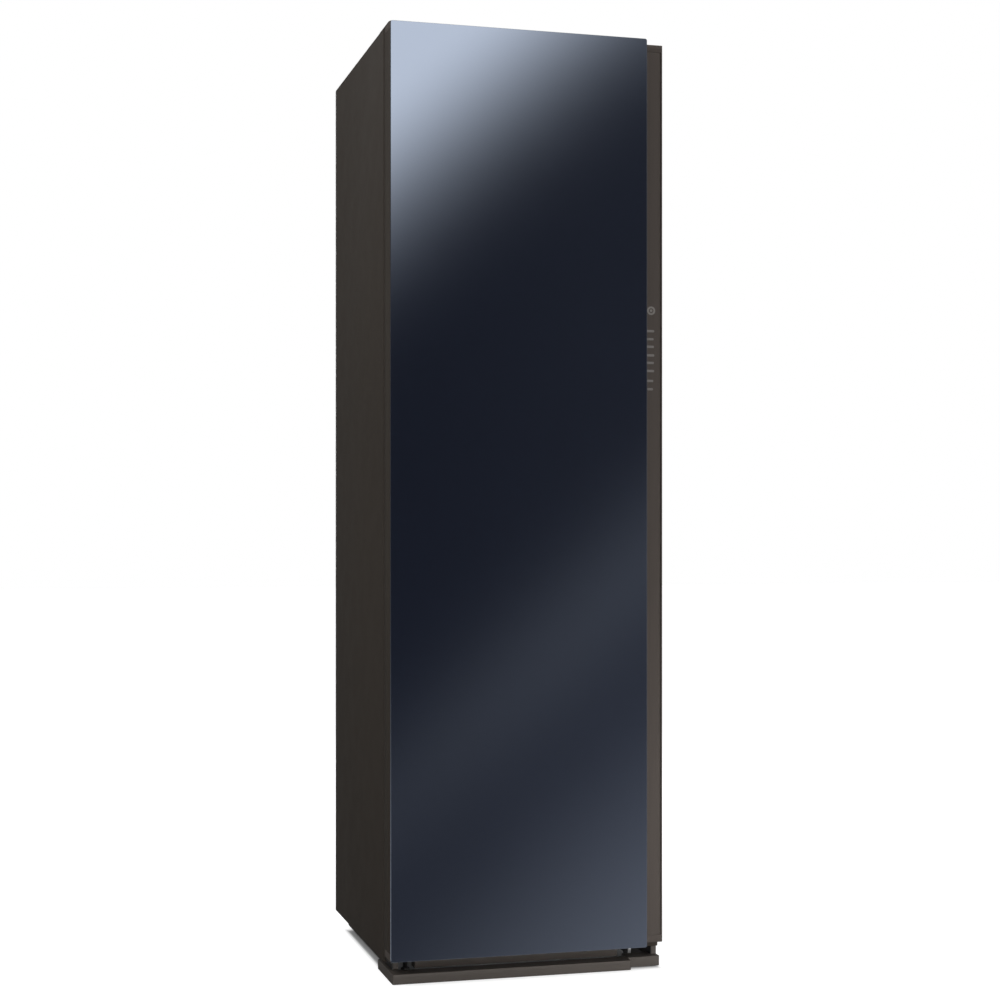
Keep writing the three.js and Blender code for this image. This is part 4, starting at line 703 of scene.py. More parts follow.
class CABINET_OT_stage(BuildStep):
    """Floor, light, white surroundings and the camera of the photograph."""

    bl_idname = "cabinet.stage"
    bl_label = "Stage"

    def build(self, context):
        scene = context.scene
        scene.view_settings.view_transform = "Standard"
        self.camera(scene)
        self.floor()
        self.world(scene)
        for name, place, size, power in LAMPS:
            data = bpy.data.lights.new(name, "AREA")
            data.shape = "DISK"
            data.size = size
            data.energy = power
            lamp = add_object(name, data)
            lamp.location = place
            aim = np.array([LOW_AIM * (place[2] < LOW_AIM), 0, min(1.0, place[2])]) - np.array(place)
            lamp.rotation_mode = "QUATERNION"
            lamp.rotation_quaternion = Vector(aim.tolist()).to_track_quat("-Z", "Y")
            lamp.visible_glossy = False
            lamp.visible_camera = False

    def camera(self, scene):
        data = bpy.data.cameras.new("camera")
        data.sensor_width = 36
        data.lens = LENS
        data.shift_y = CAMERA_RISE
        camera = add_object("camera", data)
        camera.location = CAMERA_PLACE
        camera.rotation_euler = (math.pi / 2, 0, CAMERA_HEADING)
        scene.camera = camera

    def floor(self):
        """Plain floor that is white to the camera, except in the cabinet's own footprint."""
        recipe = Recipe("pale_floor", (0.5, 0.5, 0.5), 0.7, Specular_IOR_Level=0.1)
        recipe.relief(recipe.noise(180, 3), 0.0001, 0.2)
        seen = recipe.node("ShaderNodeLightPath").outputs["Is Camera Ray"]
        glow_strength, extent = 0.76, 30.0
        footprint = ((0.006, 0.279, 0.292), (0, 0.25, 0.29))  # middle, full shade within, none beyond
        beside = []
        for output, (middle, start, end) in zip(recipe.split(recipe.place), footprint):
            away = recipe.maths("ABSOLUTE", recipe.maths("SUBTRACT", output, middle))
            beside.append(recipe.span(away, 0, 1, start, end))
        lit = recipe.product(seen, glow_strength, recipe.maths("MAXIMUM", *beside))
        glow = recipe.node("ShaderNodeEmission")
        both = recipe.node("ShaderNodeAddShader")
        recipe.link(lit, glow.inputs["Strength"])
        recipe.link(recipe.shader.outputs[0], both.inputs[0])
        recipe.link(glow.outputs[0], both.inputs[1])
        recipe.link(both.outputs[0], recipe.tree.nodes["Material Output"].inputs["Surface"])
        ends = np.array([-extent, extent])
        points = placed(ends[None, :], ends[:, None], 0.0, "Z")
        mesh = grid_mesh("floor", points, wrap_columns=False, caps=False)
        if mesh.polygons[0].normal.z < 0:
            mesh.flip_normals()
        mesh.materials.append(recipe.material)
        floor = add_object("floor", mesh)
        floor.visible_glossy = False

    def world(self, scene):
        """White to the camera, plain to matt surfaces, and a soft-edged light panel to glossy ones.

        A direction's x and z over its -y are the place where it meets a wall in front of the door. The
        reflected light is a function of one slanting measure of that place: bright above, then a faint band
        that grows to the right, then a pale rise towards the floor.
        """
        world = bpy.data.worlds.new("studio")
        scene.world = world
        world.use_nodes = True
        world.node_tree.nodes.clear()
        kit = NodeKit(world.node_tree)
        maths, span, total, product = kit.maths, kit.span, kit.total, kit.product
        scale_x, scale_z, offset = 9.42, -10.69, 1.058
        panel_light, panel_start, panel_width, panel_power = 5.644, 0.3585, 0.6376, 1.831
        roof_start, roof_rate = 1.6, 0.35
        band_middle, band_width = 4.6, 0.5314
        plain = 0.62

        x, y, z = kit.split(kit.node("ShaderNodeTexCoord").outputs["Generated"])
        ahead = product(y, -1.0)
        reach = maths("MAXIMUM", ahead, 0.3)
        across = product(maths("DIVIDE", x, reach), scale_x)
        upward = product(maths("DIVIDE", z, reach), scale_z)
        slant = total(across, upward, offset)

        past = maths("DIVIDE", maths("MAXIMUM", total(slant, -panel_start), 0.0), panel_width)
        above = maths("MAXIMUM", total(product(slant, -1.0), -roof_start), 0.0)
        panel = product(kit.decay(past, panel_power), kit.decay(above, 2.0, roof_rate), panel_light)
        off = maths("ABSOLUTE", maths("DIVIDE", total(slant, -band_middle), band_width))
        band = product(kit.decay(off, 2.0), span(across, 0.1602, 0.2913, 1.2, 4.1))
        rise = total(span(slant, 0.0, 1.328, 4.722, 8.5), span(across, 0.0, 0.0346, 1.852, 3.358))
        front = product(total(panel, band, rise), span(ahead, 0.0, 1.0, 0.1, 0.5))
        sky = span(z, 0.03, 0.7, 0.15, 0.9)
        rear = span(ahead, 0.0, 0.07, 0.3, -0.3)
        glossy = total(front, sky, rear)

        seen = kit.node("ShaderNodeLightPath").outputs
        white = maths("MAXIMUM", seen["Is Camera Ray"], seen["Is Transmission Ray"])
        matt = total(product(white, 1.0 - plain), plain)
        gloss = seen["Is Glossy Ray"]
        matt_share = product(matt, maths("SUBTRACT", 1.0, gloss))
        background = kit.node("ShaderNodeBackground")
        background.inputs["Color"].default_value = (1, 1, 1, 1)
        kit.link(total(matt_share, product(glossy, gloss)), background.inputs["Strength"])
        kit.link(background.outputs[0], kit.node("ShaderNodeOutputWorld").inputs["Surface"])


class CABINET_OT_door(BuildStep):
    """Glass, control strip, edge profiles, liner and gasket of the door."""

    bl_idname = "cabinet.door"
    bl_label = "Door"

    def build(self, context):
        size = sizes()
        low, high = box_of("door_glass")
        pane = slab("door_glass_pane", low, high, "Y", 0.004, size.glass_bevel)
        finish_piece("door_glass_pane", pane, "glass", "door", "door_glass", angle=15)
        self.strip(size)
        dressed("door_trim_left", "shell", 0.0005)
        dressed("door_cap_top", "strip", 0.0006)
        dressed("door_cap_bottom", "strip", 0.0006)
        self.liner()
        self.gasket()

    def strip(self, size):
        """Strip profile in plan, carried up the door: channel wall, face with a fine groove, outer edge."""
        low, high = box_of("grip_strip")
        left, right, back = low[0], high[0], high[1]
        face = low[1] + STRIP_FACE
        wall, edge, fold, chamfer = 0.003, 0.0016, 0.009, 0.001
        arc = quarter(7)
        inner = [(left + wall + wall * (1 - math.cos(a)), face - wall * (1 - math.sin(a))) for a in arc]
        outer = [(right - edge * (1 - math.sin(a)), face + edge * (1 - math.cos(a))) for a in arc]
        start, width, sunk = right - 0.0066, size.groove_width, face + 0.0022
        outline = [
            (left, low[1]), (left + wall, low[1]), *inner, (start, face),
            (start + width * 0.15, sunk), (start + width * 0.85, sunk), (start + width, face), *outer,
            (right, back - chamfer), (right - chamfer, back), (right - fold, back),
            (right - fold, back - edge), (right - edge, back - edge), (right - edge, face + wall),
            (left, face + wall),
        ]
        mesh = extruded("control_strip", outline, low[2], high[2])
        finish_piece("control_strip", mesh, "strip", "door", "grip_strip", bevel=0.0002, angle=35)
        self.marks(size, face)

    def marks(self, size, face):
        """Generic button sign, a ring round a dot, over eight short bars on the strip's face."""
        middle, sign_x, sign_z = 0.2700, 0.2722, 1.3870
        top = face - size.mark_relief
        half = size.mark_height / 2
        levels = (1.3438, 1.3268, 1.3108, 1.2928, 1.2768, 1.2598, 1.2388, 1.2213)
        reach = (0.0095, 0.008, 0.0085, 0.0095, 0.0085, 0.0090, 0.0070, 0.0065)
        for number, (level, wide) in enumerate(zip(levels, reach), 1):
            name = f"strip_mark_{number}"
            low, high = (middle - wide, top, level - half), (middle + wide, face, level + half)
            mesh = slab(name, low, high, "Y", half, 0.00005, 4)
            finish_piece(name, mesh, "mark", "door")
        turn = circle(40)
        for name, outer, inner in (("strip_sign_ring", 0.0090, 0.0052), ("strip_sign_dot", 0.0028, 0.0)):
            radii = np.array([outer, outer, inner, inner]) if inner else np.array([outer, outer, 0.0])
            depth = np.array([face, top, top, face]) if inner else np.array([face, top, top])
            z = sign_z + radii[:, None] * np.sin(turn)
            x = sign_x + radii[:, None] * np.cos(turn)
            points = placed(z, x, depth[:, None], "Y")
            mesh = grid_mesh(name, points, wrap_rows=bool(inner), caps=not inner, smooth=False)
            finish_piece(name, mesh, "sign", "door")

    def gasket(self):
        """Ring of a folded profile round the door. Both sides are drawn in by the square of a sine."""
        low, high = box_of("door_gasket")
        width, fold_depth, folds = 0.014, 0.0022, 3
        depth = high[1] - low[1]
        share = np.linspace(0, 1, 25)
        fold = fold_depth * np.sin(share * folds * TAU) ** 2
        outer = np.stack([fold, low[1] + depth * share], -1)
        inner = np.stack([width - fold, low[1] + depth * share], -1)[::-1]
        mesh = border_ring("folded_gasket", low, high, np.concatenate([outer, inner]))
        finish_piece("folded_gasket", mesh, "seal", "door", "door_gasket", angle=50)

    def liner(self):
        """Painted rim round a moulded panel with a raised field and two sunk panels, the upper one fluted.

        The height is a sum of smooth steps of the depth inside three rounded rectangles.
        """
        low, high = box_of("door_liner")
        rim, thick, edge = 0.0175, high[1] - low[1], 0.0012
        arc = quarter(5)
        outer = np.stack([edge * (1 - np.cos(arc)), high[1] - edge * (1 - np.sin(arc))], -1)
        profile = np.concatenate([[(0, low[1])], outer, [(rim, high[1]), (rim, low[1])]])
        ring = border_ring("door_liner_rim", low, high, profile, smooth=False)
        finish_piece("door_liner_rim", ring, "shell", "door", "door_liner", angle=35)
        field_half, field_inset, panel_half, panel_ends = 0.2575, 0.0265, 0.218, (0.105, 0.405, 0.465, 1.875)
        # Places across and levels lie close together where the height changes
        panel_edge, field_edge, near = np.linspace(0.202, 0.222, 12), np.linspace(0.243, 0.260, 11), 0.042
        side = np.concatenate([panel_edge, field_edge, [high[0] - rim]])
        x = np.concatenate([-side[::-1], np.linspace(-0.2, 0.2, 81), side])
        ends = (low[2] + field_inset, *panel_ends, high[2] - field_inset)
        z = np.concatenate([np.linspace(end - near, end + near, 25) for end in ends])
        z = np.concatenate([[low[2] + rim], z, np.linspace(0.6, 1.75, 12), [high[2] - rim]])
        z = np.unique(np.clip(z, low[2] + rim, high[2] - rim).round(5))
        middle = (low[2] + high[2]) / 2
        field = depth_inside(x, z, (0, middle), (field_half, middle - ends[0]), 0.03)
        lower, upper = (
            depth_inside(x, z, (0, (foot + top) / 2), (panel_half, (top - foot) / 2), 0.025)
            for foot, top in (ends[1:3], ends[3:5])
        )
        raised, raised_slope, sunk, sunk_slope = 0.0034, 0.010, 0.0026, 0.012
        flute, flute_pitch, flute_start, flute_slope = 0.0016, 0.05, 0.014, 0.028
        height = raised * smooth_step(field / raised_slope)
        height -= sunk * (smooth_step(lower / sunk_slope) + smooth_step(upper / sunk_slope))
        wave = np.sin(math.pi * x / flute_pitch)[None, :] ** 2
        height += flute * wave * smooth_step((upper - flute_start) / flute_slope)
        gap = 0.0003
        panel = relief_plate("door_liner_panel", x, z, height, high[1] - gap, "Y", 1, thick - 2 * gap)
        finish_piece("door_liner_panel", panel, "chamber", "door", "door_liner", angle=50)


class CABINET_OT_shell(BuildStep):
    """Side, top and back sheets, frame, kick panel, plinth, hinges and gland, with dark sheets of painted
    shade under the base.
    """

    bl_idname = "cabinet.shell"
    bl_label = "Shell"

    def build(self, context):
        for node in ("side_panel_left", "side_panel_right", "top_panel"):
            dressed(node, "shell")
        dressed("back_panel", "zinc", 0.0006)
        dressed("base_pan", "zinc", 0.0006)
        for node in ("stile_left", "stile_right", "rail_top", "rail_middle", "rail_bottom"):
            dressed("frame_" + node, "shell", 0.0008)
        dressed("kick_panel", "plinth", 0.0006)
        dressed("base_plate", "plinth", 0.0009, 3)
        dressed("cord_gland", "seal", 0.0006)
        self.back_screws()
        self.shade_skirts()
        self.shade_infills()
        dressed("hinge_cover", "dark", 0.0008, 3)
        for node in ("upper_hinge_bracket", "lower_hinge_bracket"):
            dressed(node, "black", 0.0005)

    def shade_skirts(self):
        """Folded sheet under each side of the base, behind the plinth: a wall with a lip turned in below. Its
        dark plastic is painted shade, a dark sheet where the underside of the base is in shadow.
        """
        base = box_of("base_pan")
        plinth_gap, rear_gap, overlap = 0.0015, 0.004, 0.0004
        first, last = box_of("base_plate")[1][1] + plinth_gap, base[1][1] - rear_gap
        top, foot, thick, lip = base[0][2] + overlap, 0.004, 0.0012, 0.0075
        for name, side in (("left", -1), ("right", 1)):
            face = side * SHADE_SKIRT_FACE
            outline = [
                (top, face), (foot, face), (foot, face - side * lip), (foot + thick, face - side * lip),
                (foot + thick, face - side * thick), (top, face - side * thick),
            ]
            mesh = extruded("skirt", outline, first, last, "Y")
            # Dark plastic here is painted shade: the sheet stands dark where the underside of the base is in
            # shadow
            finish_piece(f"base_shade_skirt_{name}", mesh, "dark", "root", bevel=0.0004)

    def shade_infills(self):
        """Sheet that closes the gap between the body and each arm of the plinth, turned in at its rear. Its
        dark plastic is painted shade for the shadowed gap under the body.
        """
        inset, sunk, overlap, thick = 0.0005, 0.0002, 0.0004, 0.0012
        first, last = box_of("side_panel_left")[0][1] + inset, box_of("base_plate")[1][1] - inset
        foot, top = PLINTH_TOP - sunk, box_of("base_pan")[0][2] + overlap
        for name, face, inner in (("left", -0.2790, -0.2665), ("right", 0.2828, 0.2745)):
            wall = face + math.copysign(thick, inner - face)
            outline = [
                (face, first), (face, last), (inner, last), (inner, last - thick), (wall, last - thick),
                (wall, first),
            ]
            mesh = extruded("infill", outline, foot, top, "Z")
            # Dark plastic here is painted shade: the sheet stands dark in the shadowed gap between body and
            # plinth
            finish_piece(f"plinth_shade_infill_{name}", mesh, "dark", "root", bevel=0.0003)

    def back_screws(self):
        """Screw heads along the sides, the top and the foot of the back sheet."""
        low, high = box_of("back_panel")
        face = high[1] - 0.003
        side_inset, end_inset, first, last = 0.009, 0.012, low[2] + 0.03, high[2] - 0.02
        ends = (low[2] + end_inset, high[2] - end_inset)
        sides = (low[0] + side_inset, high[0] - side_inset)
        places = [(x, z) for x in sides for z in np.linspace(first, last, 7)]
        places += [(x, z) for x in (-0.15, 0.0, 0.15) for z in ends]
        heads = joined("screws", [screw_head("head", (x, face, z), "Y", 1) for x, z in places])
        finish_piece("back_panel_screws", heads, "steel", "root", angle=35)


class CABINET_OT_chamber(BuildStep):
    """Liner, lamp, shelf, filter, grille and steam outlet."""

    bl_idname = "cabinet.chamber"
    bl_label = "Chamber"

    def build(self, context):
        dressed("chamber_liner", "chamber", 0)
        self.wall_flutes()
        dressed("light_bar", "lamp", 0.0006)
        dressed("shelf", "hanger", 0.0012, 3)
        dressed("filter_housing", "dark", 0.0005)
        dressed("floor_grille", "dark", 0.0006)
        dressed("lint_filter", "hanger", 0.0004)
        self.filter_weave()
        dressed("steam_outlet", "dark", 0.0005)
        dressed("tank_bay", "chamber", 0.0006)

    def wall_flutes(self):
        """Pressed flutes on the back and side walls of the liner, above and below the shelf."""
        low, high = box_of("chamber_liner")
        shelf = box_of("shelf")
        wall, depth, end = 0.0025, 0.0024, 0.03
        half, back_pitch, side_pitch, margin = 0.216, 0.048, 0.05, 0.06
        plates = []
        for z0, z1 in ((low[2] + 0.03, shelf[0][2] - 0.02), (shelf[1][2] + 0.03, high[2] - 0.05)):
            z = np.concatenate([np.linspace(z0, z0 + end, 8), np.linspace(z1 - end, z1, 8)])
            x = np.linspace(-half, half, 109)
            y = np.linspace(low[1] + margin, high[1] - margin, 97)
            height = fluted(x, z, back_pitch, depth, end)
            plates.append(relief_plate("flutes", x, z, height, high[1] - wall, "Y", -1))
            height = fluted(y, z, side_pitch, depth, end)
            for side in (-1, 1):
                face = (high[0] - wall) * side
                plates.append(relief_plate("flutes", y, z, height, face, "X", -side))
        mesh = joined("flutes", plates)
        finish_piece("liner_wall_flutes", mesh, "chamber", "root")

    def filter_weave(self):
        """Fine wires on both faces of the filter's screens."""
        low, high = box_of("lint_filter")
        middle = (low[1] + high[1]) / 2
        half, frame_width, post, screen_top = high[0] - 0.005, 0.009, 0.0045, 0.4285
        pitch, wire, face_out = 0.0026, 0.0003, 0.0008
        meshes = []
        for side in (-1, 1):
            x0, x1 = sorted((side * post, side * (half - frame_width)))
            for face in (-1, 1):
                near, far = (x0, 0, low[2] + frame_width), (x1, 0, screen_top)
                meshes.append(woven("weave", near, far, middle + face * face_out, pitch, wire))
        finish_piece("lint_filter_weave", joined("weave", meshes), "steel", "filter_body")


class CABINET_OT_air_rail(BuildStep):
    """Hollow rail on two stalks, with a nozzle over each hanger."""

    bl_idname = "cabinet.air_rail"
    bl_label = "Air rail"

    def build(self, context):
        high = box_of("air_rail")[1]
        y, level = rail_line()
        ceiling = box_of("light_bar")[1][2]
        half, radius, groove = high[0], RAIL_RADIUS, RAIL_RADIUS - 0.0006
        turn = quarter(7)
        round_end = 0.003
        end = np.stack([radius - round_end * (1 - np.cos(turn)), half - round_end * (1 - np.sin(turn))], -1)
        right = np.concatenate([
            [(radius, half - 0.014), (groove, half - 0.0135)],
            [(groove, half - 0.0125), (radius, half - 0.012)],
            end, [(radius - 0.005, half)],
        ])
        profile = np.concatenate([right[::-1] * [1, -1], right])
        stalk = [
            (0.0085, level), (0.0120, level + 0.0095), (0.0103, level + 0.0125), (0.0100, level + 0.016),
            (0.0100, ceiling - 0.0085), (0.0125, ceiling - 0.0082), (0.0180, ceiling - 0.0048),
            (0.0190, ceiling - 0.0036), (0.0190, ceiling - 0.0002), (0.0100, ceiling), (0.0100, high[2]),
        ]
        cup = [
            (0.0040, -0.0118), (0.0040, -0.0122), (0.0048, -0.0124), (0.0058, -0.0124), (0.0062, -0.0116),
            (0.0062, -0.0090), (0.0040, -0.0090),
        ]
        meshes = [turned("rail", profile, (0, y, level), "X", 64)]
        meshes += [turned("stalk", stalk, (HANGER_PITCH * place, y, 0)) for place in (-1.5, 1.5)]
        meshes += [turned("nozzle", cup, (x, y, level), "Z", 24) for x in hanger_places()]
        rail = joined("air_rail_tube", meshes)
        finish_piece("air_rail_tube", rail, "hanger", "root", "air_rail", angle=35)


class CABINET_OT_hangers(BuildStep):
    """Five hollow air hangers with a hook, a socket under the nozzle and shoulders with air slots."""

    bl_idname = "cabinet.hangers"
    bl_label = "Air hangers"

    def build(self, context):
        y, level = rail_line()
        for number, x in enumerate(hanger_places(), 1):
            mesh = joined("hanger", [self.hook(), self.neck(), self.shoulders()])
            mesh.transform(Matrix.Translation((x, y, level)))
            name = f"air_hanger_{number}"
            finish_piece(name + "_body", mesh, "hanger", f"hanger_{number}", name, angle=40)

    def hook(self):
        """Strap that runs up one side of the rail, over it in a half circle and down the other side."""
        play, reach, half_wide, corner, count = 0.0008, 0.0286, 0.008, 0.0012, 7
        half = sizes().hanger_wall / 2
        radius = RAIL_RADIUS + play + half
        turn = np.linspace(math.pi, 0, 33)
        leg = np.linspace(-reach, 0, count + 1)[:-1]
        out_y = np.concatenate([np.full(count, -1.0), np.cos(turn), np.full(count, 1.0)])
        out_z = np.concatenate([np.zeros(count), np.sin(turn), np.zeros(count)])
        z = np.concatenate([leg, radius * np.sin(turn), leg[::-1]])
        nil = np.zeros_like(z)
        line, out = np.stack([nil, radius * out_y, z], -1), np.stack([nil, out_y, out_z], -1)
        return strap_along("hook", line, out, (1, 0, 0), half, half_wide, corner)

    def neck(self):
        """Ellipses from the shoulders up to the socket's lip, over the lip and down inside the socket.

        Each row is a half width, a half depth and a height.
        """
        rows = np.array([
            (0.0104, 0.0190, -0.0640), (0.0104, 0.0168, -0.0610), (0.0102, 0.0145, -0.0550),
            (0.0103, 0.0136, -0.0480), (0.0106, 0.0145, -0.0390), (0.0109, 0.0160, -0.0320),
            (0.0110, 0.0167, -0.0288), (0.0106, 0.0164, -0.0281), (0.0096, 0.0155, -0.0281),
            (0.0091, 0.0149, -0.0287), (0.0088, 0.0140, -0.0330), (0.0085, 0.0118, -0.0420),
        ])
        half_x, half_y, level = rows.T[..., None]
        return grid_mesh("neck", ovals(half_x, half_y, level, circle(48)))

    def shoulders(self):
        """Ovals whose width grows with the square of the share of the reach.

        Their middle falls with its power of 1.5, and the tips close as the root of one less its eighth power.
        Six slots are sunk into the top.
        """
        root_half, widening, root_tall = 0.011, 0.008, 0.009
        drop, fall, thinnest = 0.062, 0.052, 0.012
        slot_depth, slot_reach, slot_half, slot_places = 0.0045, 0.0125, 0.0022, np.array([0.5, 0.7, 0.9])
        even = np.linspace(-1, 1, 161)[:, None]
        share = 0.35 * np.sin(even * math.pi / 2) + 0.65 * even
        spread = np.abs(share)
        tip = np.sqrt(np.maximum(thinnest, 1 - spread ** 8))
        half = (root_half + widening * spread ** 2) * tip
        tall = root_tall * (1 - spread / 4) * tip
        turn = circle(72)
        x = half * np.cos(turn)
        y = share * HANGER_REACH * np.ones_like(turn)
        z = -drop - fall * spread ** 1.5 + tall * np.sin(turn)
        near = np.abs(spread[..., None] - slot_places).min(-1) * HANGER_REACH
        slot = np.clip((slot_reach - near) / 0.0012, 0, 1) * np.clip((slot_half - np.abs(x)) / 0.0006, 0, 1)
        z = z - slot_depth * slot * (np.sin(turn) > 0)
        return grid_mesh("shoulders", placed(x, y, z, "Z"))


class CABINET_OT_tanks(BuildStep):
    """Two water tanks with their lids."""

    bl_idname = "cabinet.tanks"
    bl_label = "Tanks"

    def build(self, context):
        for side in ("supply", "drain"):
            low, high = box_of(f"{side}_tank")
            face = low[1] + TANK_GRIP
            self.shell(side, (low[0], face, low[2]), high)
            self.pull(side, low, high, face)
            self.level_marks(side, low, high, face)
            self.lid(side)

    def shell(self, side, low, high):
        """Rings of one rounded rectangle: up the outside, over the lip and down the inside."""
        middle = (np.array(low[:2]) + high[:2]) / 2
        half = (high[:2] - np.array(low[:2])) / 2
        floor, top = low[2], high[2]
        foot, wall, corner = 0.006, 0.002, 0.014
        far, near = foot * (1 - np.sin(quarter(7))), foot * (1 - np.cos(quarter(7)))
        bead = 0.0008
        rings = [
            *zip(far, floor + near),
            *((0, level) for level in np.linspace(floor + 0.012, top - 0.024, 4)),
            (0, top - 0.022), (bead, top - 0.021), (bead, top - 0.0195), (0, top - 0.0185),
            (0, top - 0.0004), (0.0004, top), (wall - 0.0004, top), (wall, top - 0.0004),
            (wall, floor + foot + wall), *zip((wall + near)[1:], (floor + wall + far)[1:]),
        ]
        shape = [rounded_ring(*(half - inset), max(corner - inset, 0.002), 8) for inset, _ in rings]
        shape = np.array(shape) + middle
        level = np.array(rings)[:, 1:]
        mesh = grid_mesh("shell", placed(shape[..., 0], shape[..., 1], level, "Z"), smooth=False)
        finish_piece(f"{side}_tank_shell", mesh, "tank", f"{side}_body", f"{side}_tank", angle=35)

    def pull(self, side, low, high, face):
        """Folded lip across the front: out from the face, down and rounded at its foot."""
        top, depth, thick, half = high[2] - 0.013, 0.026, 0.002, 0.055
        front, middle = low[1], (low[0] + high[0]) / 2
        outline = [
            (face + 0.0005, top), (front + 0.003, top), (front + 0.0009, top - 0.0009), (front, top - 0.003),
            (front, top - depth + 0.001), (front + 0.001, top - depth),
            (front + thick, top - depth + 0.001), (front + thick, top - 0.0045),
            (front + 0.0045, top - thick), (face + 0.0005, top - thick),
        ]
        mesh = extruded("pull", outline, middle - half, middle + half, "X")
        name = f"{side}_tank"
        finish_piece(name + "_pull", mesh, "tank", f"{side}_body", name, bevel=0.0006, angle=35)

    def level_marks(self, side, low, high, face):
        """Raised bars up the face, the uppermost one twice as long."""
        start, half, bars = (low[0] + high[0]) / 2 + 0.062, 0.0006, []
        for level, reach in zip(np.linspace(low[2] + 0.04, high[2] - 0.03, 5), (0.008,) * 4 + (0.016,)):
            near, far = (start, face - 0.0003, level - half), (start + reach, face + 0.0002, level + half)
            bars.append(slab("mark", near, far, "Y", 0.0005, 0.0001, 3))
        name = f"{side}_tank_level_marks"
        finish_piece(name, joined(name, bars), "sign", f"{side}_body")

    def lid(self, side):
        """Plate over a narrower rim, with a filler cap whose edge is a cosine of thirty waves.

        Each row of the cap is a radius, a height and the share of the waves in it.
        """
        low, high = box_of(f"{side}_tank_lid")
        middle = (low + high) / 2
        top, step, corner, waves, wave = high[2] - 0.005, 0.0024, 0.014, 30, 0.0003
        plate = slab("plate", (*low[:2], low[2] + 0.003), (*high[:2], top), "Z", corner, 0.0009, 8)
        near, far = (*(low[:2] + step), low[2]), (*(high[:2] - step), top - 0.002)
        rim = slab("rim", near, far, "Z", corner - step, 0.0006, 8)
        turn = circle(120)
        rows = np.array([
            (0.0172, -0.0005, 0), (0.0168, 0.0004, 0), (0.0160, 0.0006, 1), (0.0158, 0.0040, 1),
            (0.0150, 0.0048, 0.3), (0.0140, 0.0050, 0), (0.0118, 0.0050, 0), (0.0112, 0.0044, 0),
        ])
        radius = rows[:, :1] + rows[:, 2:] * wave * np.cos(waves * turn)
        points = ovals(radius, radius, top + rows[:, 1:2], turn)
        cap = grid_mesh("cap", points + np.array([middle[0], middle[1], 0]), smooth=False)
        name = f"{side}_tank_cover"
        mesh = joined(name, [plate, rim, cap])
        finish_piece(name, mesh, "dark", f"{side}_body", f"{side}_tank_lid", angle=35)


class CABINET_OT_feet(BuildStep):
    """Four screw feet, each a pad, a nut and a threaded stem."""

    bl_idname = "cabinet.feet"
    bl_label = "Screw feet"

    def build(self, context):
        pad = [
            (0.0155, 0.0), (0.0166, 0.0004), (0.0170, 0.0016), (0.0170, 0.0058), (0.0165, 0.0071),
            (0.0152, 0.0078), (0.0090, 0.0081), (0.0048, 0.0090),
        ]
        nut = [(0.0080, 0.0078), (0.0090, 0.0084), (0.0090, 0.0144), (0.0080, 0.0150), (0.0048, 0.0150)]
        for corner in ("front_left", "front_right", "rear_left", "rear_right"):
            node = f"foot_{corner}"
            low, high = box_of(node)
            centre = ((low[0] + high[0]) / 2, (low[1] + high[1]) / 2, low[2])
            meshes = [
                turned("pad", pad, centre),
                turned("nut", nut, centre, "Z", 6),
                self.stem(centre, high[2] - low[2]),
            ]
            body = "foot_" + "".join(word[0] for word in corner.split("_"))
            finish_piece(node + "_screw", joined(node, meshes), "dark", body, node, angle=30)

    def stem(self, centre, height):
        """Screw thread: the radius follows a cosine of the height less the turn, one pitch up each turn."""
        pitch, core, thread = 0.0015, 0.00465, 0.00035
        level = np.arange(0.0145, height - 0.001, pitch / 6)[:, None]
        turn = circle(24)
        radius = core + thread * np.cos(level / pitch * TAU - turn)
        return grid_mesh("stem", ovals(radius, radius, level, turn) + np.array(centre))


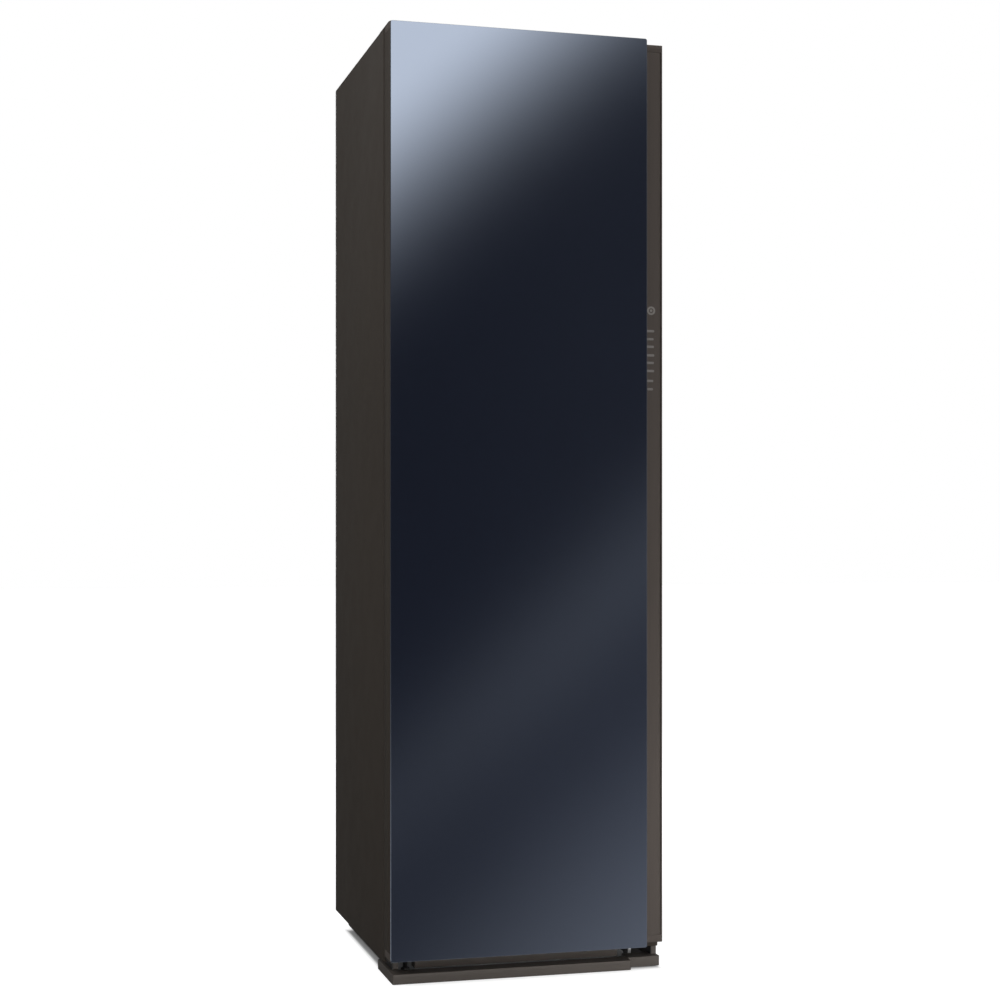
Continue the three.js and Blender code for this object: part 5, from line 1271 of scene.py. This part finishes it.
class CABINET_OT_machine(BuildStep):
    """Compressor, boiler, pump, blower, heat exchangers, ducts and the steam hose."""

    bl_idname = "cabinet.machine"
    bl_label = "Machine room"

    def build(self, context):
        self.copper_line(dressed("compressor", "black", 0).data)
        for node in (
            "steam_generator", "water_pump", "control_box", "blower_housing", "blower_wheel", "air_tunnel",
            "rear_duct", "ceiling_duct", "touch_board",
        ):
            dressed(node, SLOT_FINISH[SLOT_OF[node]], 0)
        for node in ("evaporator", "condenser"):
            self.fins(node)
            self.tubes(node)
        self.hose()

    def copper_line(self, mesh):
        """Copper on the discharge line: every face over the can's dome or in front of its mounting plate."""
        mesh.materials.append(MADE["copper"])
        centres = np.empty(len(mesh.polygons) * 3)
        mesh.polygons.foreach_get("center", centres)
        _, y, z = centres.reshape(-1, 3).T
        line = (z > DOME_TOP) | (y < PLATE_FRONT)
        mesh.polygons.foreach_set("material_index", line.astype(np.int32))

    def fins(self, node):
        """Thin plates across X at an even pitch between two thicker end sheets."""
        low, high = box_of(node)
        outline = [(low[1], low[2]), (high[1], low[2]), (high[1], high[2]), (low[1], high[2])]
        first, last = low[0] + TUBE_TURN, high[0] - TUBE_TURN
        places = np.linspace(first, last, 81)
        sheet_half, fin_half = 0.0006, 0.00015
        halves = np.where((places == first) | (places == last), sheet_half, fin_half)
        plates = [extruded("fin", outline, x - half, x + half, "X") for x, half in zip(places, halves)]
        finish_piece(node + "_fins", joined("fins", plates), "coil", "root", node)

    def tubes(self, node):
        """Two serpentines: straight runs through the fins, joined outside them by half circles."""
        low, high = box_of(node)
        first, last = low[0] + TUBE_TURN, high[0] - TUBE_TURN
        margin, row_inset, tube, end_gap = 0.015, 0.011, 0.004, 0.0045
        levels = np.linspace(low[2] + margin, high[2] - margin, 6)
        turn = np.linspace(-math.pi / 2, math.pi / 2, 13)
        radius = (levels[1] - levels[0]) / 2
        bend = np.stack([(TUBE_TURN - end_gap) * np.cos(turn), radius * (1 + np.sin(turn))], -1)
        rows = []
        for y in (low[1] + row_inset, high[1] - row_inset):
            path = [(first, levels[0])]
            for step, level in enumerate(levels[:-1]):
                way = 1 if step % 2 == 0 else -1
                path += [(x, level) for x in np.linspace(first, last, 5)[::way][1:-1]]
                path += [((last if way > 0 else first) + way * out, level + up) for out, up in bend]
            path.append((last if len(levels) % 2 else first, levels[-1]))
            x, z = np.array(path).T
            rows.append(swept("tube", np.stack([x, np.full_like(x, y), z], -1), tube, 12))
        finish_piece(node + "_tubes", joined("tubes", rows), "copper", "root", node, angle=60)

    def hose(self):
        """Folded hose on a smooth curve through its route, its radius a cosine of the length along it."""
        low, high = box_of("steam_hose")
        radius, pitch, fold = 0.008, 0.005, 0.0008
        x, y0, y1, z0, z1 = low[0] + radius, low[1] + radius, high[1] - radius, low[2], high[2]
        rise = radius * 3
        route = np.array([
            (x, y0, z0), (x, y0, z0 + rise), (x, (y0 * 3 + y1) / 4, z1 - rise * 2),
            (x / 2, (y0 + y1) / 2, z1 - rise * 1.5), (0, y1, z1 - rise), (0, y1, z1),
        ])
        route = np.concatenate([route[:1] * 2 - route[1:2], route, route[-1:] * 2 - route[-2:-1]])
        t = np.linspace(0, 1, 61)[:-1, None]
        a, b, c, d = (route[None, k:k + 5] for k in range(4))
        t = t[:, None]
        curve = 2 * b + (c - a) * t + (2 * a - 5 * b + 4 * c - d) * t ** 2 + (3 * b - a - 3 * c + d) * t ** 3
        curve = np.concatenate([curve.transpose(1, 0, 2).reshape(-1, 3) / 2, route[-2:-1]])
        length = np.concatenate([[0], np.cumsum(np.linalg.norm(np.diff(curve, axis=0), axis=1))])
        along = np.linspace(0, length[-1], int(length[-1] / pitch * 5))
        path = np.stack([np.interp(along, length, curve[:, k]) for k in range(3)], -1)
        mesh = swept("hose", path, radius - fold + fold * np.cos(along / pitch * TAU), 20)
        finish_piece("steam_hose_folds", mesh, "seal", "root", "steam_hose", angle=60)


class CABINET_OT_plain_parts(BuildStep):
    """Materials for the CAD pieces that keep their own form."""

    bl_idname = "cabinet.plain_parts"
    bl_label = "Other pieces"

    def build(self, context):
        for node, thing in frame["nodes"].items():
            material = MADE[SLOT_FINISH[SLOT_OF[node]]]
            thing.data.materials.clear()
            thing.data.materials.append(material)


class CABINET_PT_panel(bpy.types.Panel):
    """Sidebar panel with the steps and their sizes and colours."""

    bl_label = "Clothes care cabinet"
    bl_idname = "CABINET_PT_panel"
    bl_space_type = "VIEW_3D"
    bl_region_type = "UI"
    bl_category = "Cabinet"

    def draw(self, context):
        for step in STEPS:
            self.layout.operator(step.bl_idname)
        for group in (sizes(), colours()):
            for key in group.bl_rna.properties.keys():
                if key not in ("rna_type", "name"):
                    self.layout.prop(group, key)


STEPS = (
    CABINET_OT_stage,
    CABINET_OT_plain_parts,
    CABINET_OT_door,
    CABINET_OT_shell,
    CABINET_OT_chamber,
    CABINET_OT_air_rail,
    CABINET_OT_hangers,
    CABINET_OT_tanks,
    CABINET_OT_feet,
    CABINET_OT_machine,
)
CLASSES = (CabinetSizes, CabinetColours, *STEPS, CABINET_PT_panel)


def register():
    for cls in CLASSES:
        bpy.utils.register_class(cls)
    bpy.types.Scene.cabinet_sizes = PointerProperty(type=CabinetSizes)
    bpy.types.Scene.cabinet_colours = PointerProperty(type=CabinetColours)


def unregister():
    del bpy.types.Scene.cabinet_colours
    del bpy.types.Scene.cabinet_sizes
    for cls in reversed(CLASSES):
        bpy.utils.unregister_class(cls)


def main():
    register()
    make_materials()
    for step in STEPS:
        group, name = step.bl_idname.split(".")
        getattr(getattr(bpy.ops, group), name)()


if __name__ == "__main__":
    main()
